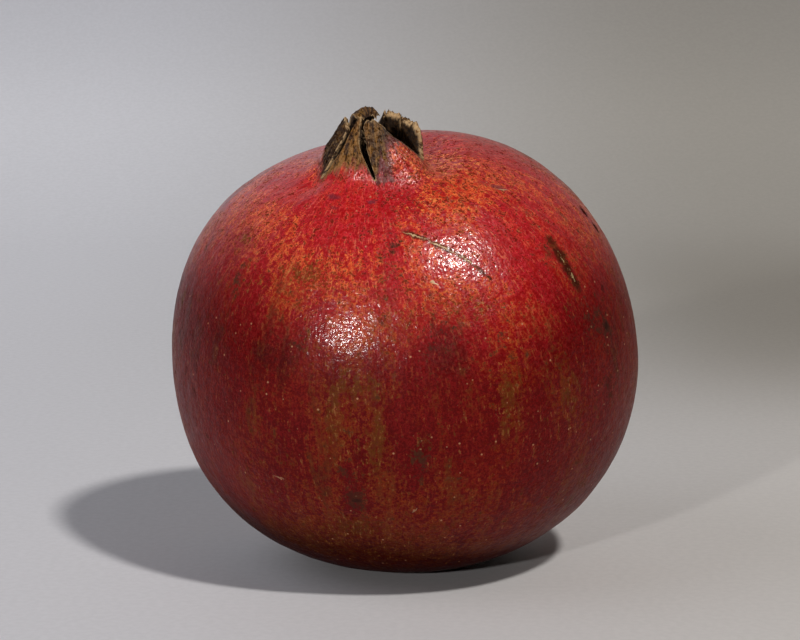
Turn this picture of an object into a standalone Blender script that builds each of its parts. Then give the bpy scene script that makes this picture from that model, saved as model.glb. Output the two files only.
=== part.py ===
"""Pomegranate: a leathery rind with its calyx crown, dried stamens and a stem end.

Metres, +Z up, the fruit rests on z = 0 and the calyx leans toward -Y.
"""

import bmesh
import bpy
import math
import numpy as np
from mathutils import Matrix, Vector

# Body: radius of the outline every thirty degrees, from +X through +Z
FRONT_RADII = [0.0497, 0.0492, 0.0490, 0.0466, 0.0475, 0.0498,
               0.0494, 0.0505, 0.0492, 0.0474, 0.0492, 0.0506]
# Body: the same in the side outline, from +Y through +Z
SIDE_RADII = [0.0478, 0.0478, 0.0476, 0.0466, 0.0476, 0.0478,
              0.0478, 0.0490, 0.0488, 0.0474, 0.0488, 0.0490]
# Height of the body centre; the underside is flattened where the fruit rests
CENTRE_HEIGHT = 0.0465
# Six soft sides follow the chambers inside
LOBE_DEPTH = 0.00045
LOBE_PHASE = 0.6
# Shift that puts the box of the whole fruit on the origin
SHIFT_X = -0.0002
SHIFT_Y = 0.0

# Hollow round the stem under the fruit
DIMPLE_RADIUS = 0.0065
DIMPLE_DEPTH = 0.0026

# Calyx seat on the body: its lean toward the viewer and to the left
SEAT_LEAN = 0.375
SEAT_LEFT = 0.155
# Direction of the calyx axis
AXIS_LEAN = 0.27
AXIS_LEFT = -0.01
SEAT_LIFT = 0.0006

# Neck: polar angle where it leaves the body, and the ring where the sepals part
NECK_ANGLE = 0.43
ROOT_RADIUS = 0.0105
ROOT_HEIGHT = -0.0009
NECK_PULL = 0.0085
ROOT_PULL = 0.0070
# Places where the ring is wider: azimuth and spread in degrees, flare and rise
RING_BUMPS = [(-63, 14, 0.0012, -0.0024), (52, 26, 0.0020, 0.0011)]

# Sepals and cup wall
WALL = 0.0019
TIP_WALL = 0.0013
CUP_FLOOR = -0.0030
CUP_BULGE = 0.0004
# Each sepal: slits on its two sides at the root and edges at the tip, in degrees
# from the viewer to the right, then tip radius, tip height, bend powers of the
# two edges, power of the inward lean, and gap half width in metres
SEPALS = [
    ("left", -118, -63, -112, -51, 0.0055, 0.0082, 1.0, 0.7, 1.15, 0.00045, 0.10),
    ("front_left", -63, 5, -46, -33, 0.0036, 0.0096, 0.7, 1.3, 2.6, 0.00065, 0.10),
    ("front_right", 5, 83, -31, 24, 0.0034, 0.0094, 1.3, 1.7, 3.2, 0.00065, 0.16),
    ("back_right", 83, 137, 86, 141, 0.0101, 0.0056, 1.0, 1.0, 2.0, 0.00020, 0.06),
    ("back", 137, 187, 138, 163, 0.0086, 0.0066, 1.0, 1.0, 2.0, 0.00020, 0.06),
    ("back_left", 187, 242, 166, 208, 0.0055, 0.0096, 1.0, 0.6, 1.6, 0.00030, 0.20),
]
# Share of a sepal's inward lean that is straight; the rest bends in near the tip
STRAIGHT_LEAN = 0.75
# Columns in a sepal, and the share of its half width where each one runs
SEPAL_STEPS = [-1, -0.95, -0.80, -0.57, -0.30, 0, 0.30, 0.57, 0.80, 0.95, 1]

# Dried stamens on their disc
DISC_RADIUS = 0.0058
DISC_HEIGHT = 0.0012
FILAMENTS = 34
FILAMENT_RADIUS = 0.00036
ANTHER_RADIUS = 0.00062
STYLE_RADIUS = 0.00062
STYLE_TALL = 0.0088
CLEARANCE = 0.0003

# Clipped stem
STEM_RADIUS = 0.0027
STEM_TALL = 0.0012
# Gap between the cut face and the table, and the depth of the scar in the face
STEM_REST = 0.0006
SCAR_DEPTH = 0.0002

def clear_scene():
    for thing in list(bpy.data.objects):
        bpy.data.objects.remove(thing, do_unlink=True)


def colour(name, rgb, rough):
    made = bpy.data.materials.new(name)
    made.use_nodes = True
    shader = made.node_tree.nodes["Principled BSDF"]
    shader.inputs["Base Color"].default_value = (*rgb, 1)
    shader.inputs["Roughness"].default_value = rough
    return made


def ring_curve(values, angle):
    """Smooth closed outline through equally spaced radii."""
    part = np.fft.rfft(values) / len(values)
    out = np.full(np.shape(angle), part[0].real)
    for k in range(1, len(part)):
        weight = 1 if 2 * k == len(values) else 2
        wave = part[k].real * np.cos(k * angle) - part[k].imag * np.sin(k * angle)
        out = out + weight * wave
    return out


def body_radius(polar, turn):
    """Radius of the body in a direction, from its front and side outlines."""
    right = ring_curve(FRONT_RADII, np.pi / 2 - polar)
    left = ring_curve(FRONT_RADII, np.pi / 2 + polar)
    back = ring_curve(SIDE_RADII, np.pi / 2 - polar)
    near = ring_curve(SIDE_RADII, np.pi / 2 + polar)
    mean = (right + left + back + near) / 4
    oval = (right + left - back - near) / 4
    lobes = LOBE_DEPTH * np.cos(6 * turn + LOBE_PHASE) * np.sin(polar) ** 3
    across = (right - left) / 2 * np.cos(turn) + (back - near) / 2 * np.sin(turn)
    return mean + across + oval * np.cos(2 * turn) + lobes


def body_point(way):
    """Natural surface of the body, before the underside is flattened."""
    way = way / np.linalg.norm(way)
    polar = math.acos(max(-1.0, min(1.0, way[2])))
    far = float(body_radius(polar, math.atan2(way[1], way[0])))
    return way * far + np.array([0, 0, CENTRE_HEIGHT])


def leaning(lean, left):
    """Turn that takes +Z to an axis leaning toward the viewer and to the left."""
    axis = Vector((-math.tan(left), -math.tan(lean), 1)).normalized()
    turn = Vector((0, 0, 1)).rotation_difference(axis)
    return turn


SEAT = leaning(SEAT_LEAN, SEAT_LEFT)
CALYX = leaning(AXIS_LEAN, AXIS_LEFT)


def column_way(angle, azimuth):
    """Direction down a column: round the calyx at the top, upright below."""
    share = 0.5 + 0.5 * math.cos(angle)
    flat = Vector((math.sin(angle) * math.sin(azimuth),
                   -math.sin(angle) * math.cos(azimuth), math.cos(angle)))
    turn = Vector((0, 0, 1)).rotation_difference(SEAT @ Vector((0, 0, 1)))
    axis, amount = turn.to_axis_angle()
    return np.array(Matrix.Rotation(amount * share, 3, axis) @ flat)


def settle(point):
    """Flatten the underside and lift the hollow round the stem."""
    low = max(point[2], 0.0)
    out = math.hypot(point[0], point[1])
    if low < DIMPLE_DEPTH and out < DIMPLE_RADIUS:
        low = DIMPLE_DEPTH * (1 - (out / DIMPLE_RADIUS) ** 2) ** 2
    return np.array([point[0], point[1], low])


def calyx_axes():
    right = np.array(CALYX @ Vector((1, 0, 0)))
    near = np.array(CALYX @ Vector((0, -1, 0)))
    up = np.array(CALYX @ Vector((0, 0, 1)))
    seat = body_point(np.array(SEAT @ Vector((0, 0, 1))))
    return seat + up * SEAT_LIFT, right, near, up


ORIGIN, RIGHT, NEAR, UP = calyx_axes()


def calyx_point(azimuth, radius, height):
    side = RIGHT * math.sin(azimuth) + NEAR * math.cos(azimuth)
    return ORIGIN + side * radius + UP * height


def root_ring(azimuth):
    """Radius and height of the ring where the sepals part."""
    radius, height = ROOT_RADIUS, ROOT_HEIGHT
    for centre, spread, flare, rise in RING_BUMPS:
        off = math.remainder(azimuth - math.radians(centre), 2 * math.pi)
        near = math.exp(-((off / math.radians(spread)) ** 2))
        radius += flare * near
        height += rise * near
    return radius, height


def hermite(start, start_way, end, end_way, t):
    return (start * (2 * t ** 3 - 3 * t ** 2 + 1) + start_way * (t ** 3 - 2 * t ** 2 + t)
            + end * (3 * t ** 2 - 2 * t ** 3) + end_way * (t ** 3 - t ** 2))


def neck_point(azimuth, t):
    """From the shoulder at t = 0 up to the root ring at t = 1."""
    start = body_point(column_way(NECK_ANGLE, azimuth))
    below = body_point(column_way(NECK_ANGLE + 0.02, azimuth))
    leave = start - below
    leave = leave / np.linalg.norm(leave) * NECK_PULL
    radius, height = root_ring(azimuth)
    end = calyx_point(azimuth, radius, height)
    side = RIGHT * math.sin(azimuth) + NEAR * math.cos(azimuth)
    arrive = (UP * 0.90 - side * 0.43) * ROOT_PULL
    return hermite(start, leave, end, arrive, t)


def sepal_frame(sepal, across, up):
    """Azimuth, radius, height and slope of a sepal's outer face."""
    _, left, right, tip_left, tip_right, tip_radius, tip_height = sepal[:7]
    left_power, right_power, lean_power, gap, corner = sepal[7:]
    low_left, low_right = math.radians(left), math.radians(right)
    top_left, top_right = math.radians(tip_left), math.radians(tip_right)
    rise = up * (1 - corner * abs(across) ** 3 * up ** 2)
    azimuth_left = low_left + (top_left - low_left) * rise ** left_power
    azimuth_right = low_right + (top_right - low_right) * rise ** right_power
    azimuth = (azimuth_left + azimuth_right + (azimuth_right - azimuth_left) * across) / 2
    root_radius, root_height = root_ring(low_left + (low_right - low_left) * (across + 1) / 2)
    inward = STRAIGHT_LEAN * rise + (1 - STRAIGHT_LEAN) * rise ** lean_power
    radius = root_radius + (tip_radius - root_radius) * inward
    height = root_height + (tip_height - root_height) * rise
    open_gap = gap * math.sin(math.pi * min(1, rise)) ** 0.6 if 0 < rise < 1 else 0
    azimuth -= across ** 3 * open_gap / max(radius, 0.002)
    bend = STRAIGHT_LEAN + (1 - STRAIGHT_LEAN) * lean_power * rise ** (lean_power - 1)
    slope = (tip_radius - root_radius) * bend
    return azimuth, radius, height, slope, tip_height - root_height


def sepal_point(sepal, across, up, inner):
    azimuth, radius, height, slope, tall = sepal_frame(sepal, across, up)
    if not inner:
        return calyx_point(azimuth, radius, height)
    length = math.hypot(slope, tall)
    thick = WALL + (TIP_WALL - WALL) * up
    if up > 0:
        thick *= max(0.0, 1 - abs(across) ** 7) ** 0.5 * max(0.0, 1 - up ** 9) ** 0.5
    side = RIGHT * math.sin(azimuth) + NEAR * math.cos(azimuth)
    out = (side * tall - UP * slope) / length if up > 0 else side
    return calyx_point(azimuth, radius, height) - out * thick


def cup_point(azimuth, inner_root, t):
    """Cup wall and floor, from the root of a sepal's inner face to the middle."""
    rel = inner_root - ORIGIN
    height = float(rel @ UP)
    flat = rel - UP * height
    radius = float(np.linalg.norm(flat))
    way = flat / radius
    bend = t * math.pi / 2
    out = radius * math.cos(bend) ** 0.45 + CUP_BULGE * math.sin(2 * bend)
    low = height + (CUP_FLOOR - height) * math.sin(bend) ** 0.8
    if t == 1:
        out = 0.0
    return ORIGIN + way * out + UP * low


def rind_rows():
    """Every row from the stem hollow to the middle of the cup floor."""
    rows = []
    for out in (0, 0.0022, 0.0040, 0.0054, 0.0065, 0.0080, 0.0095):
        rows.append(("under", out))
    first = math.pi - 0.235
    count = 27
    for i in range(count):
        rows.append(("body", first + (NECK_ANGLE - first) * i / (count - 1)))
    for t in (0.2, 0.4, 0.6, 0.8, 1.0):
        rows.append(("neck", t))
    climbs = (0.10, 0.25, 0.42, 0.60, 0.77, 0.90, 0.97)
    for up in climbs:
        rows.append(("outer", up))
    rows.append(("rim", 1.0))
    for up in reversed(climbs):
        rows.append(("inner", up))
    rows.append(("inner", 0.0))
    for t in (0.16, 0.34, 0.52, 0.70, 0.86, 1.0):
        rows.append(("cup", t))
    return rows


def rind_point(sepal, even, across, row):
    kind, value = row
    left, right = math.radians(sepal[1]), math.radians(sepal[2])
    if kind == "under":
        azimuth = left + (right - left) * (even + 1) / 2
        return settle(np.array([value * math.sin(azimuth), -value * math.cos(azimuth), 0.0]))
    if kind == "body":
        share = max(0.0, 1 - (value - NECK_ANGLE) / 0.6)
        mixed = even + (across - even) * share
        azimuth = left + (right - left) * (mixed + 1) / 2
        return settle(body_point(column_way(value, azimuth)))
    azimuth = left + (right - left) * (across + 1) / 2
    if kind == "neck":
        return neck_point(azimuth, value)
    if kind in ("outer", "rim"):
        return sepal_point(sepal, across, value, False)
    root = sepal_point(sepal, across, 0.0, True)
    if kind == "inner":
        return sepal_point(sepal, across, value, True)
    return cup_point(azimuth, root, value)


def make_rind(name, material, collection):
    """Six grid patches, one under each sepal, closed into one skin."""
    rows = rind_rows()
    steps = len(SEPAL_STEPS)
    whole = bmesh.new()
    for sepal in SEPALS:
        patch = bmesh.new()
        bmesh.ops.create_grid(patch, x_segments=steps - 1, y_segments=len(rows) - 1, size=1)
        for vert in patch.verts:
            column = round((vert.co.x + 1) / 2 * (steps - 1))
            line = round((vert.co.y + 1) / 2 * (len(rows) - 1))
            even = 2 * column / (steps - 1) - 1
            place = rind_point(sepal, even, SEPAL_STEPS[column], rows[line])
            vert.co = place + np.array([SHIFT_X, SHIFT_Y, 0])
        piece = bpy.data.meshes.new("patch")
        patch.to_mesh(piece)
        patch.free()
        whole.from_mesh(piece)
        bpy.data.meshes.remove(piece)
    bmesh.ops.remove_doubles(whole, verts=whole.verts[:], dist=1e-5)
    rim = [edge for edge in whole.edges if edge.is_boundary]
    bmesh.ops.holes_fill(whole, edges=rim, sides=6)
    bmesh.ops.triangulate(whole, faces=[f for f in whole.faces if len(f.verts) > 4])
    bmesh.ops.recalc_face_normals(whole, faces=whole.faces[:])
    for face in whole.faces:
        face.smooth = True
    mesh = bpy.data.meshes.new(name)
    whole.to_mesh(mesh)
    whole.free()
    mesh.materials.append(material)
    thing = bpy.data.objects.new(name, mesh)
    collection.objects.link(thing)
    return thing


def tube(target, points, radii, sides):
    """Closed tube through points, added with the grid and cap tools."""
    patch = bmesh.new()
    bmesh.ops.create_grid(patch, x_segments=sides, y_segments=len(points) - 1, size=1)
    for vert in patch.verts:
        column = round((vert.co.x + 1) / 2 * sides)
        line = round((vert.co.y + 1) / 2 * (len(points) - 1))
        before, after = points[max(0, line - 1)], points[min(len(points) - 1, line + 1)]
        way = (after - before).normalized()
        turn = Vector((0, 0, 1)).rotation_difference(way)
        angle = 2 * math.pi * column / sides
        ring = turn @ Vector((math.cos(angle), math.sin(angle), 0))
        vert.co = points[line] + ring * radii[line]
    bmesh.ops.remove_doubles(patch, verts=patch.verts[:], dist=1e-6)
    bmesh.ops.holes_fill(patch, edges=[e for e in patch.edges if e.is_boundary], sides=sides)
    bmesh.ops.recalc_face_normals(patch, faces=patch.faces[:])
    piece = bpy.data.meshes.new("strand")
    patch.to_mesh(piece)
    patch.free()
    target.from_mesh(piece)
    bpy.data.meshes.remove(piece)


def stored(name, shape, material, collection):
    for face in shape.faces:
        face.smooth = True
    mesh = bpy.data.meshes.new(name)
    shape.to_mesh(mesh)
    shape.free()
    if material:
        mesh.materials.append(material)
    thing = bpy.data.objects.new(name, mesh)
    collection.objects.link(thing)
    return thing


def cup_limit(height):
    """Free radius inside the sepals at a height above the cup floor."""
    return 0.0066 - 0.0046 * max(0.0, min(1.0, height / 0.0105)) ** 1.6


def make_stamens(name, material, collection, cutters):
    """A tuft of filaments with anthers, standing on the disc they grew from."""
    base = ORIGIN + UP * (CUP_FLOOR + CLEARANCE)
    base = Vector(base + np.array([SHIFT_X, SHIFT_Y, 0]))
    up, right, near = Vector(UP), Vector(RIGHT), Vector(NEAR)
    disc = bmesh.new()
    bmesh.ops.create_cone(disc, cap_ends=True, segments=36, radius1=DISC_RADIUS,
                          radius2=DISC_RADIUS - 0.0006, depth=DISC_HEIGHT)
    turn = Vector((0, 0, 1)).rotation_difference(up).to_matrix().to_4x4()
    bmesh.ops.transform(disc, verts=disc.verts[:],
                        matrix=Matrix.Translation(base + up * (DISC_HEIGHT / 2)) @ turn)
    core = stored(name, disc, material, collection)
    strands = bmesh.new()
    golden = math.pi * (3 - math.sqrt(5))
    for i in range(FILAMENTS + 1):
        share = math.sqrt((i + 0.2) / (FILAMENTS + 0.7))
        azimuth = i * golden
        tall = 0.0062 + 0.0022 * math.sin(2.3 * i) * math.sin(1.1 * i + 0.7)
        tall *= 1 - 0.12 * share
        thick = FILAMENT_RADIUS
        if i == 0:
            share, tall, thick = 0.0, STYLE_TALL, STYLE_RADIUS
        points, radii = [], []
        for k in range(5):
            rise = k / 4
            height = 0.0005 + (tall - 0.0005) * rise
            out = share * cup_limit(height) * (0.86 if height > 0.001 else 0.80)
            swing = azimuth + 0.16 * rise
            side = right * math.sin(swing) + near * math.cos(swing)
            points.append(base + side * out + up * height)
            radii.append(thick)
        top, under = points[-1], points[-2]
        way = (top - under).normalized()
        big = ANTHER_RADIUS if i else STYLE_RADIUS * 1.5
        points[-1:] = [top, top + way * big * 0.9, top + way * big * 1.9]
        radii[-1:] = [thick, big, big * 0.35]
        tube(strands, points, radii, 6)
    tuft = stored(name + "_strands", strands, None, cutters)
    join = core.modifiers.new("tuft", "BOOLEAN")
    join.operation = "UNION"
    join.solver = "EXACT"
    join.object = tuft
    return core


def make_stem(name, material, collection):
    """Short woody stem end in the hollow, with a slightly domed, scarred face."""
    shape = bmesh.new()
    bmesh.ops.create_cone(shape, cap_ends=True, segments=28, radius1=STEM_RADIUS * 0.93,
                          radius2=STEM_RADIUS, depth=STEM_TALL)
    top = [f for f in shape.faces if len(f.verts) > 4 and f.calc_center_median().z > 0]
    low = [f for f in shape.faces if len(f.verts) > 4 and f.calc_center_median().z < 0]
    bmesh.ops.inset_region(shape, faces=top, thickness=0.0008, depth=0.0)
    bmesh.ops.inset_region(shape, faces=low, thickness=0.0007, depth=-SCAR_DEPTH)
    bmesh.ops.translate(shape, verts=shape.verts[:], vec=(0, 0, STEM_TALL / 2))
    for vert in shape.verts:
        out = math.hypot(vert.co.x, vert.co.y)
        if vert.co.z > STEM_TALL / 2:
            hollow = DIMPLE_DEPTH * (1 - (out / DIMPLE_RADIUS) ** 2) ** 2
            vert.co.z = hollow - CLEARANCE
        else:
            vert.co.z += STEM_REST
    bmesh.ops.translate(shape, verts=shape.verts[:], vec=(SHIFT_X, SHIFT_Y, 0))
    return stored(name, shape, material, collection)


def main():
    clear_scene()
    parts = bpy.data.collections.new("pomegranate")
    cutters = bpy.data.collections.new("tool_bodies")
    bpy.context.scene.collection.children.link(parts)
    bpy.context.scene.collection.children.link(cutters)
    rind = colour("rind_red", (0.42, 0.035, 0.02), 0.42)
    dry = colour("dry_brown", (0.20, 0.11, 0.05), 0.85)
    wood = colour("stem_wood", (0.26, 0.17, 0.09), 0.8)
    make_rind("rind_with_calyx", rind, parts)
    make_stamens("dried_stamens", dry, parts, cutters)
    make_stem("stem_stub", wood, parts)
    for thing in cutters.objects:
        thing.hide_render = True
        thing.display_type = "WIRE"


main()
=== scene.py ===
"""Pomegranate on a pale sweep: mottled leathery rind, dry calyx crown, stamens and stem end."""

import bmesh
import bpy
import math
import numpy as np
from mathutils import Matrix, Vector, noise


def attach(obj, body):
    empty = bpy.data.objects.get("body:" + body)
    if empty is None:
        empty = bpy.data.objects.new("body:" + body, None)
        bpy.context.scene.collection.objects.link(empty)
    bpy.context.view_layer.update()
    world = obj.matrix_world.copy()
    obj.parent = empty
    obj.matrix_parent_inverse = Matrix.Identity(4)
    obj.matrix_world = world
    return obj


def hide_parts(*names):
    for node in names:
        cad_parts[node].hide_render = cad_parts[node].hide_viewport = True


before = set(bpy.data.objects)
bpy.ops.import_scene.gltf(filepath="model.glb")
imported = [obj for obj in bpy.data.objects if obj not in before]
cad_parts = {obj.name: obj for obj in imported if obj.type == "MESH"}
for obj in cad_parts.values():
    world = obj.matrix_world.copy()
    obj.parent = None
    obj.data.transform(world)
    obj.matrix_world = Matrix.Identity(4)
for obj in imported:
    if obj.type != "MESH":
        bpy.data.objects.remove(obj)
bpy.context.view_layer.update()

# Body outlines, radius every thirty degrees, in metres
FRONT_RADII = [0.0497, 0.0492, 0.0490, 0.0466, 0.0475, 0.0498,
               0.0494, 0.0505, 0.0492, 0.0474, 0.0492, 0.0506]
SIDE_RADII = [0.0478, 0.0478, 0.0476, 0.0466, 0.0476, 0.0478,
              0.0478, 0.0490, 0.0488, 0.0474, 0.0488, 0.0490]
CENTRE_HEIGHT = 0.0465
MEAN_RADIUS = 0.048
LOBES = 6
LOBE_DEPTH = 0.00045
LOBE_PHASE = 0.6
SHIFT = np.array([-0.0002, 0.0, 0.0])
# Low swells of the body: degrees right, degrees up, spread in degrees, height
SWELLS = [(3.0, 31.0, 10.0, 0.00050)]
# Hollow round the stem, and the rings of points under the fruit
DIMPLE_RADIUS = 0.0065
DIMPLE_DEPTH = 0.0026
REST_RINGS = [0, 0.0008, 0.0016, 0.0024, 0.0032, 0.0040, 0.0047, 0.0053, 0.0058,
              0.0062, 0.0065, 0.0072, 0.0080, 0.0088, 0.0096]
REST_ANGLE = 0.235
# Low dents and fine pits of the skin
DENT_HEIGHT = 0.00022
PIT_DEPTH = 0.00006
# How far the grain of the skin and the fibres of the husk are drawn out lengthwise
GRAIN_DRAWN = 0.22
FIBRE_DRAWN = 0.14
HUSK_RADIUS = 0.008
# Lengths along the neck, a sepal and the cup that the grain follows
NECK_LENGTH = 0.009
SEPAL_LENGTH = 0.010
CUP_LENGTH = 0.02

# Calyx seat, axis and neck
SEAT_LEAN = 0.375
SEAT_LEFT = 0.155
AXIS_LEAN = 0.27
AXIS_LEFT = -0.01
SEAT_LIFT = 0.0006
NECK_ANGLE = 0.43
ROOT_RADIUS = 0.0105
ROOT_HEIGHT = -0.0009
NECK_PULL = 0.0085
ROOT_PULL = 0.0070
# Swells of the ring that the sepals grow from: degrees round, spread, outward, upward
RING_BUMPS = [(-63, 14, 0.0012, -0.0024), (52, 26, 0.0020, 0.0011), (30, 26, 0.0016, -0.0008)]
# Fold of the neck in front: degrees round and spread, and the slant of the neck at its top
FLARE_AT = 34
FLARE_SPREAD = 26
NECK_UPRIGHT = 0.90
NECK_INWARD = 0.43
FLARE_LOSS = 0.20
FLARE_GAIN = 0.29

# Sepals: slits at the root, edges at the tip in degrees, tip radius and height,
# bend of the two edges, inward bend, gap half width
WALL = 0.0019
TIP_WALL = 0.0013
CUP_FLOOR = -0.0030
CUP_BULGE = 0.0004
STRAIGHT_LEAN = 0.75
SEPALS = [
    ("left", -118, -63, -112, -51, 0.0055, 0.0082, 1.0, 0.7, 1.15, 0.00045),
    ("front_left", -63, 5, -46, -33, 0.0036, 0.0096, 0.7, 1.3, 2.6, 0.00065),
    ("front_right", 5, 83, -31, 24, 0.0034, 0.0094, 1.3, 1.7, 3.2, 0.00065),
    ("back_right", 83, 137, 86, 141, 0.0101, 0.0056, 1.0, 1.0, 2.0, 0.00020),
    ("back", 137, 187, 134, 163, 0.0086, 0.0066, 1.0, 1.0, 2.0, 0.00020),
    ("back_left", 187, 242, 166, 208, 0.0055, 0.0096, 1.0, 0.6, 1.6, 0.00030),
]
# Straight share of the lean of the sepal with the fold in front, and the height of its ridge
FOLDED = "front_right"
FOLDED_LEAN = 0.93
FOLD_RIDGE = 0.00035
# Relief of the dry sepals: long ribs, lumps and grit
RIB_HEIGHT = 0.00026
LUMP_HEIGHT = 0.00036
GRIT_HEIGHT = 0.00012
# How sharply the corners of a sepal turn
SEPAL_CORNER = 3
ROLLED_CORNER = 2.4
# Rim of each sepal: how round its corners are, how ragged it is
RIMS = {"left": (0.10, 0.05), "front_left": (0.10, 0.03), "front_right": (0.16, 0.04),
        "back_right": (0.03, 0.16), "back": (0.02, 0.16), "back_left": (0.14, 0.05)}
# Height at which each sepal turns dry, at its left, middle and right
DRY_FROM = {"left": (0.30, 0.12, -0.05), "front_left": (0.05, 0.18, 0.22),
            "front_right": (0.02, 0.52, 0.60), "back_right": (0.75, 0.58, 0.40),
            "back": (0.35, 0.32, 0.30), "back_left": (0.25, 0.18, 0.10)}
# How dusky the band between red and dry is, how light the dry part is, and how wide the
# pale torn rim is, up the sepal and along its sides; the pale rim is partly a painted highlight
DUSK = {"left": 0.2, "front_left": 0.3, "front_right": 1.0, "back_right": 0.3, "back": 0.3,
        "back_left": 0.2}
HUSK_LIGHT = {"left": 0.58, "front_left": 0.94, "front_right": 0.86, "back_right": 0.85,
              "back": 0.90, "back_left": 0.75}
RIM_BAND = {"left": (0.95, 0.975), "front_left": (0.96, 0.97), "front_right": (0.955, 0.965),
            "back_right": (0.86, 0.96), "back": (0.86, 0.95), "back_left": (0.975, 0.985)}
DRY_BAND = 0.55
# The tip that is rolled over
ROLLED = "back_left"
CURL_FROM = 0.68
CURL_TURN = 2.7
CURL_RADIUS = 0.0027
# Columns and rows of points of each sector: columns, body, neck, sepal and cup
COLUMNS = 46
BODY_ROWS = 158
NECK_ROWS = 27
SEPAL_ROWS = 41
CUP_ROWS = 19
# How far the columns crowd towards the slits and the rows towards the tips, and the angle
# below the neck at which the columns are even again
CROWDING = 1.35
CROWDING_ANGLE = 0.6

# Stamens and stem
DISC_RADIUS = 0.0058
DISC_HEIGHT = 0.0012
STAMEN_TALL = 0.0072
CLEARANCE = 0.0003
STEM_REST = 0.0006

# Camera: height over the horizon, distance, lens; the point that it looks at
CAMERA_TILT = math.radians(10.5)
CAMERA_FAR = 0.620
CAMERA_LENS = 130.1
AIM = Vector((-0.00101, 0.0, CENTRE_HEIGHT + 0.00618))
# Lights: degrees right of the viewer, degrees up, distance, width, power, colour
KEY_LIGHT = (38, 52, 2.4, 0.18, 31.0, (1.0, 0.97, 0.93))
FILL_LIGHT = (-24, 14, 1.6, 0.07, 7.6, (1.0, 0.98, 0.96))
LEFT_LIGHT = (-72, 42, 1.9, 1.5, 6.2, (0.88, 0.91, 1.0))
WALL_LIGHT = (-82, 38, 0.8, 0.60, 0.31, (0.90, 0.95, 1.0))
WALL_AIM = Vector((-0.2, 0.60, 0.05))
WALL_SPREAD = 66
ROOM_COLOUR = (0.90, 0.93, 1.0, 1)
ROOM_STRENGTH = 0.01
# Sweep: where the floor starts to rise, the radius of its curve, its half width and its ends
SWEEP_START = 0.42
SWEEP_CURVE = 0.5
SWEEP_HALF = 2.4
SWEEP_NEAR = -2.2
SWEEP_TOP = 2.2
SWEEP_STEPS = 18


# Shape of the body, the neck and the sepals
def facing(lon, lat):
    """Direction out of the body at degrees right of the viewer and degrees up."""
    lo, la = math.radians(lon), math.radians(lat)
    return np.array([math.cos(la) * math.sin(lo), -math.cos(la) * math.cos(lo), math.sin(la)])


def ring_curve(values, angle):
    """Smooth closed outline through equally spaced radii."""
    part = np.fft.rfft(values) / len(values)
    out = np.full(np.shape(angle), part[0].real)
    for k in range(1, len(part)):
        weight = 1 if 2 * k == len(values) else 2
        wave = part[k].real * np.cos(k * angle) - part[k].imag * np.sin(k * angle)
        out = out + weight * wave
    return out


def body_radius(polar, turn):
    """Radius of the body from its two outlines and its lobes."""
    right = ring_curve(FRONT_RADII, np.pi / 2 - polar)
    left = ring_curve(FRONT_RADII, np.pi / 2 + polar)
    back = ring_curve(SIDE_RADII, np.pi / 2 - polar)
    near = ring_curve(SIDE_RADII, np.pi / 2 + polar)
    mean = (right + left + back + near) / 4
    oval = (right + left - back - near) / 4
    lobes = LOBE_DEPTH * np.cos(LOBES * turn + LOBE_PHASE) * np.sin(polar) ** 3
    across = (right - left) / 2 * np.cos(turn) + (back - near) / 2 * np.sin(turn)
    return mean + across + oval * np.cos(2 * turn) + lobes


def body_points(ways):
    """Natural surface of the body along unit directions."""
    ways = ways / np.linalg.norm(ways, axis=-1, keepdims=True)
    polar = np.arccos(np.clip(ways[..., 2], -1, 1))
    far = body_radius(polar, np.arctan2(ways[..., 1], ways[..., 0]))
    for lon, lat, spread, height in SWELLS:
        away = np.degrees(np.arccos(np.clip(ways @ facing(lon, lat), -1, 1)))
        far = far + height * np.exp(-((away / spread) ** 2))
    return ways * far[..., None] + np.array([0, 0, CENTRE_HEIGHT])


def leaning(lean, left):
    """Turn of an axis that leans towards the viewer and to the left."""
    axis = Vector((-math.tan(left), -math.tan(lean), 1)).normalized()
    return Vector((0, 0, 1)).rotation_difference(axis)


SEAT = leaning(SEAT_LEAN, SEAT_LEFT)
CALYX = leaning(AXIS_LEAN, AXIS_LEFT)
SEAT_AXIS, SEAT_TURN = SEAT.to_axis_angle()
SEAT_AXIS = np.array(SEAT_AXIS)
RIGHT = np.array(CALYX @ Vector((1, 0, 0)))
NEAR = np.array(CALYX @ Vector((0, -1, 0)))
UP = np.array(CALYX @ Vector((0, 0, 1)))
ORIGIN = body_points(np.array(SEAT @ Vector((0, 0, 1)))[None])[0] + UP * SEAT_LIFT


def column_ways(angle, azimuth):
    """Directions down the columns: round the calyx at the top, upright below."""
    turn = SEAT_TURN * (0.5 + 0.5 * np.cos(angle))
    flat = np.stack([np.sin(angle) * np.sin(azimuth),
                     -np.sin(angle) * np.cos(azimuth), np.cos(angle)], -1)
    c, s = np.cos(turn)[..., None], np.sin(turn)[..., None]
    along = (flat @ SEAT_AXIS)[..., None] * SEAT_AXIS
    return flat * c + np.cross(SEAT_AXIS, flat) * s + along * (1 - c)


def settle(points):
    """Flatten the underside and lift the hollow round the stem."""
    points = points.copy()
    low = np.maximum(points[..., 2], 0)
    out = np.hypot(points[..., 0], points[..., 1])
    hollow = DIMPLE_DEPTH * (1 - np.minimum(1, out / DIMPLE_RADIUS) ** 2) ** 2
    inside = (out < DIMPLE_RADIUS) & (low < DIMPLE_DEPTH)
    points[..., 2] = np.where(inside, hollow, low)
    return points


def calyx_side(azimuth):
    return RIGHT * np.sin(azimuth)[..., None] + NEAR * np.cos(azimuth)[..., None]


def calyx_points(azimuth, radius, height):
    return ORIGIN + calyx_side(azimuth) * radius[..., None] + UP * height[..., None]


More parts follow.
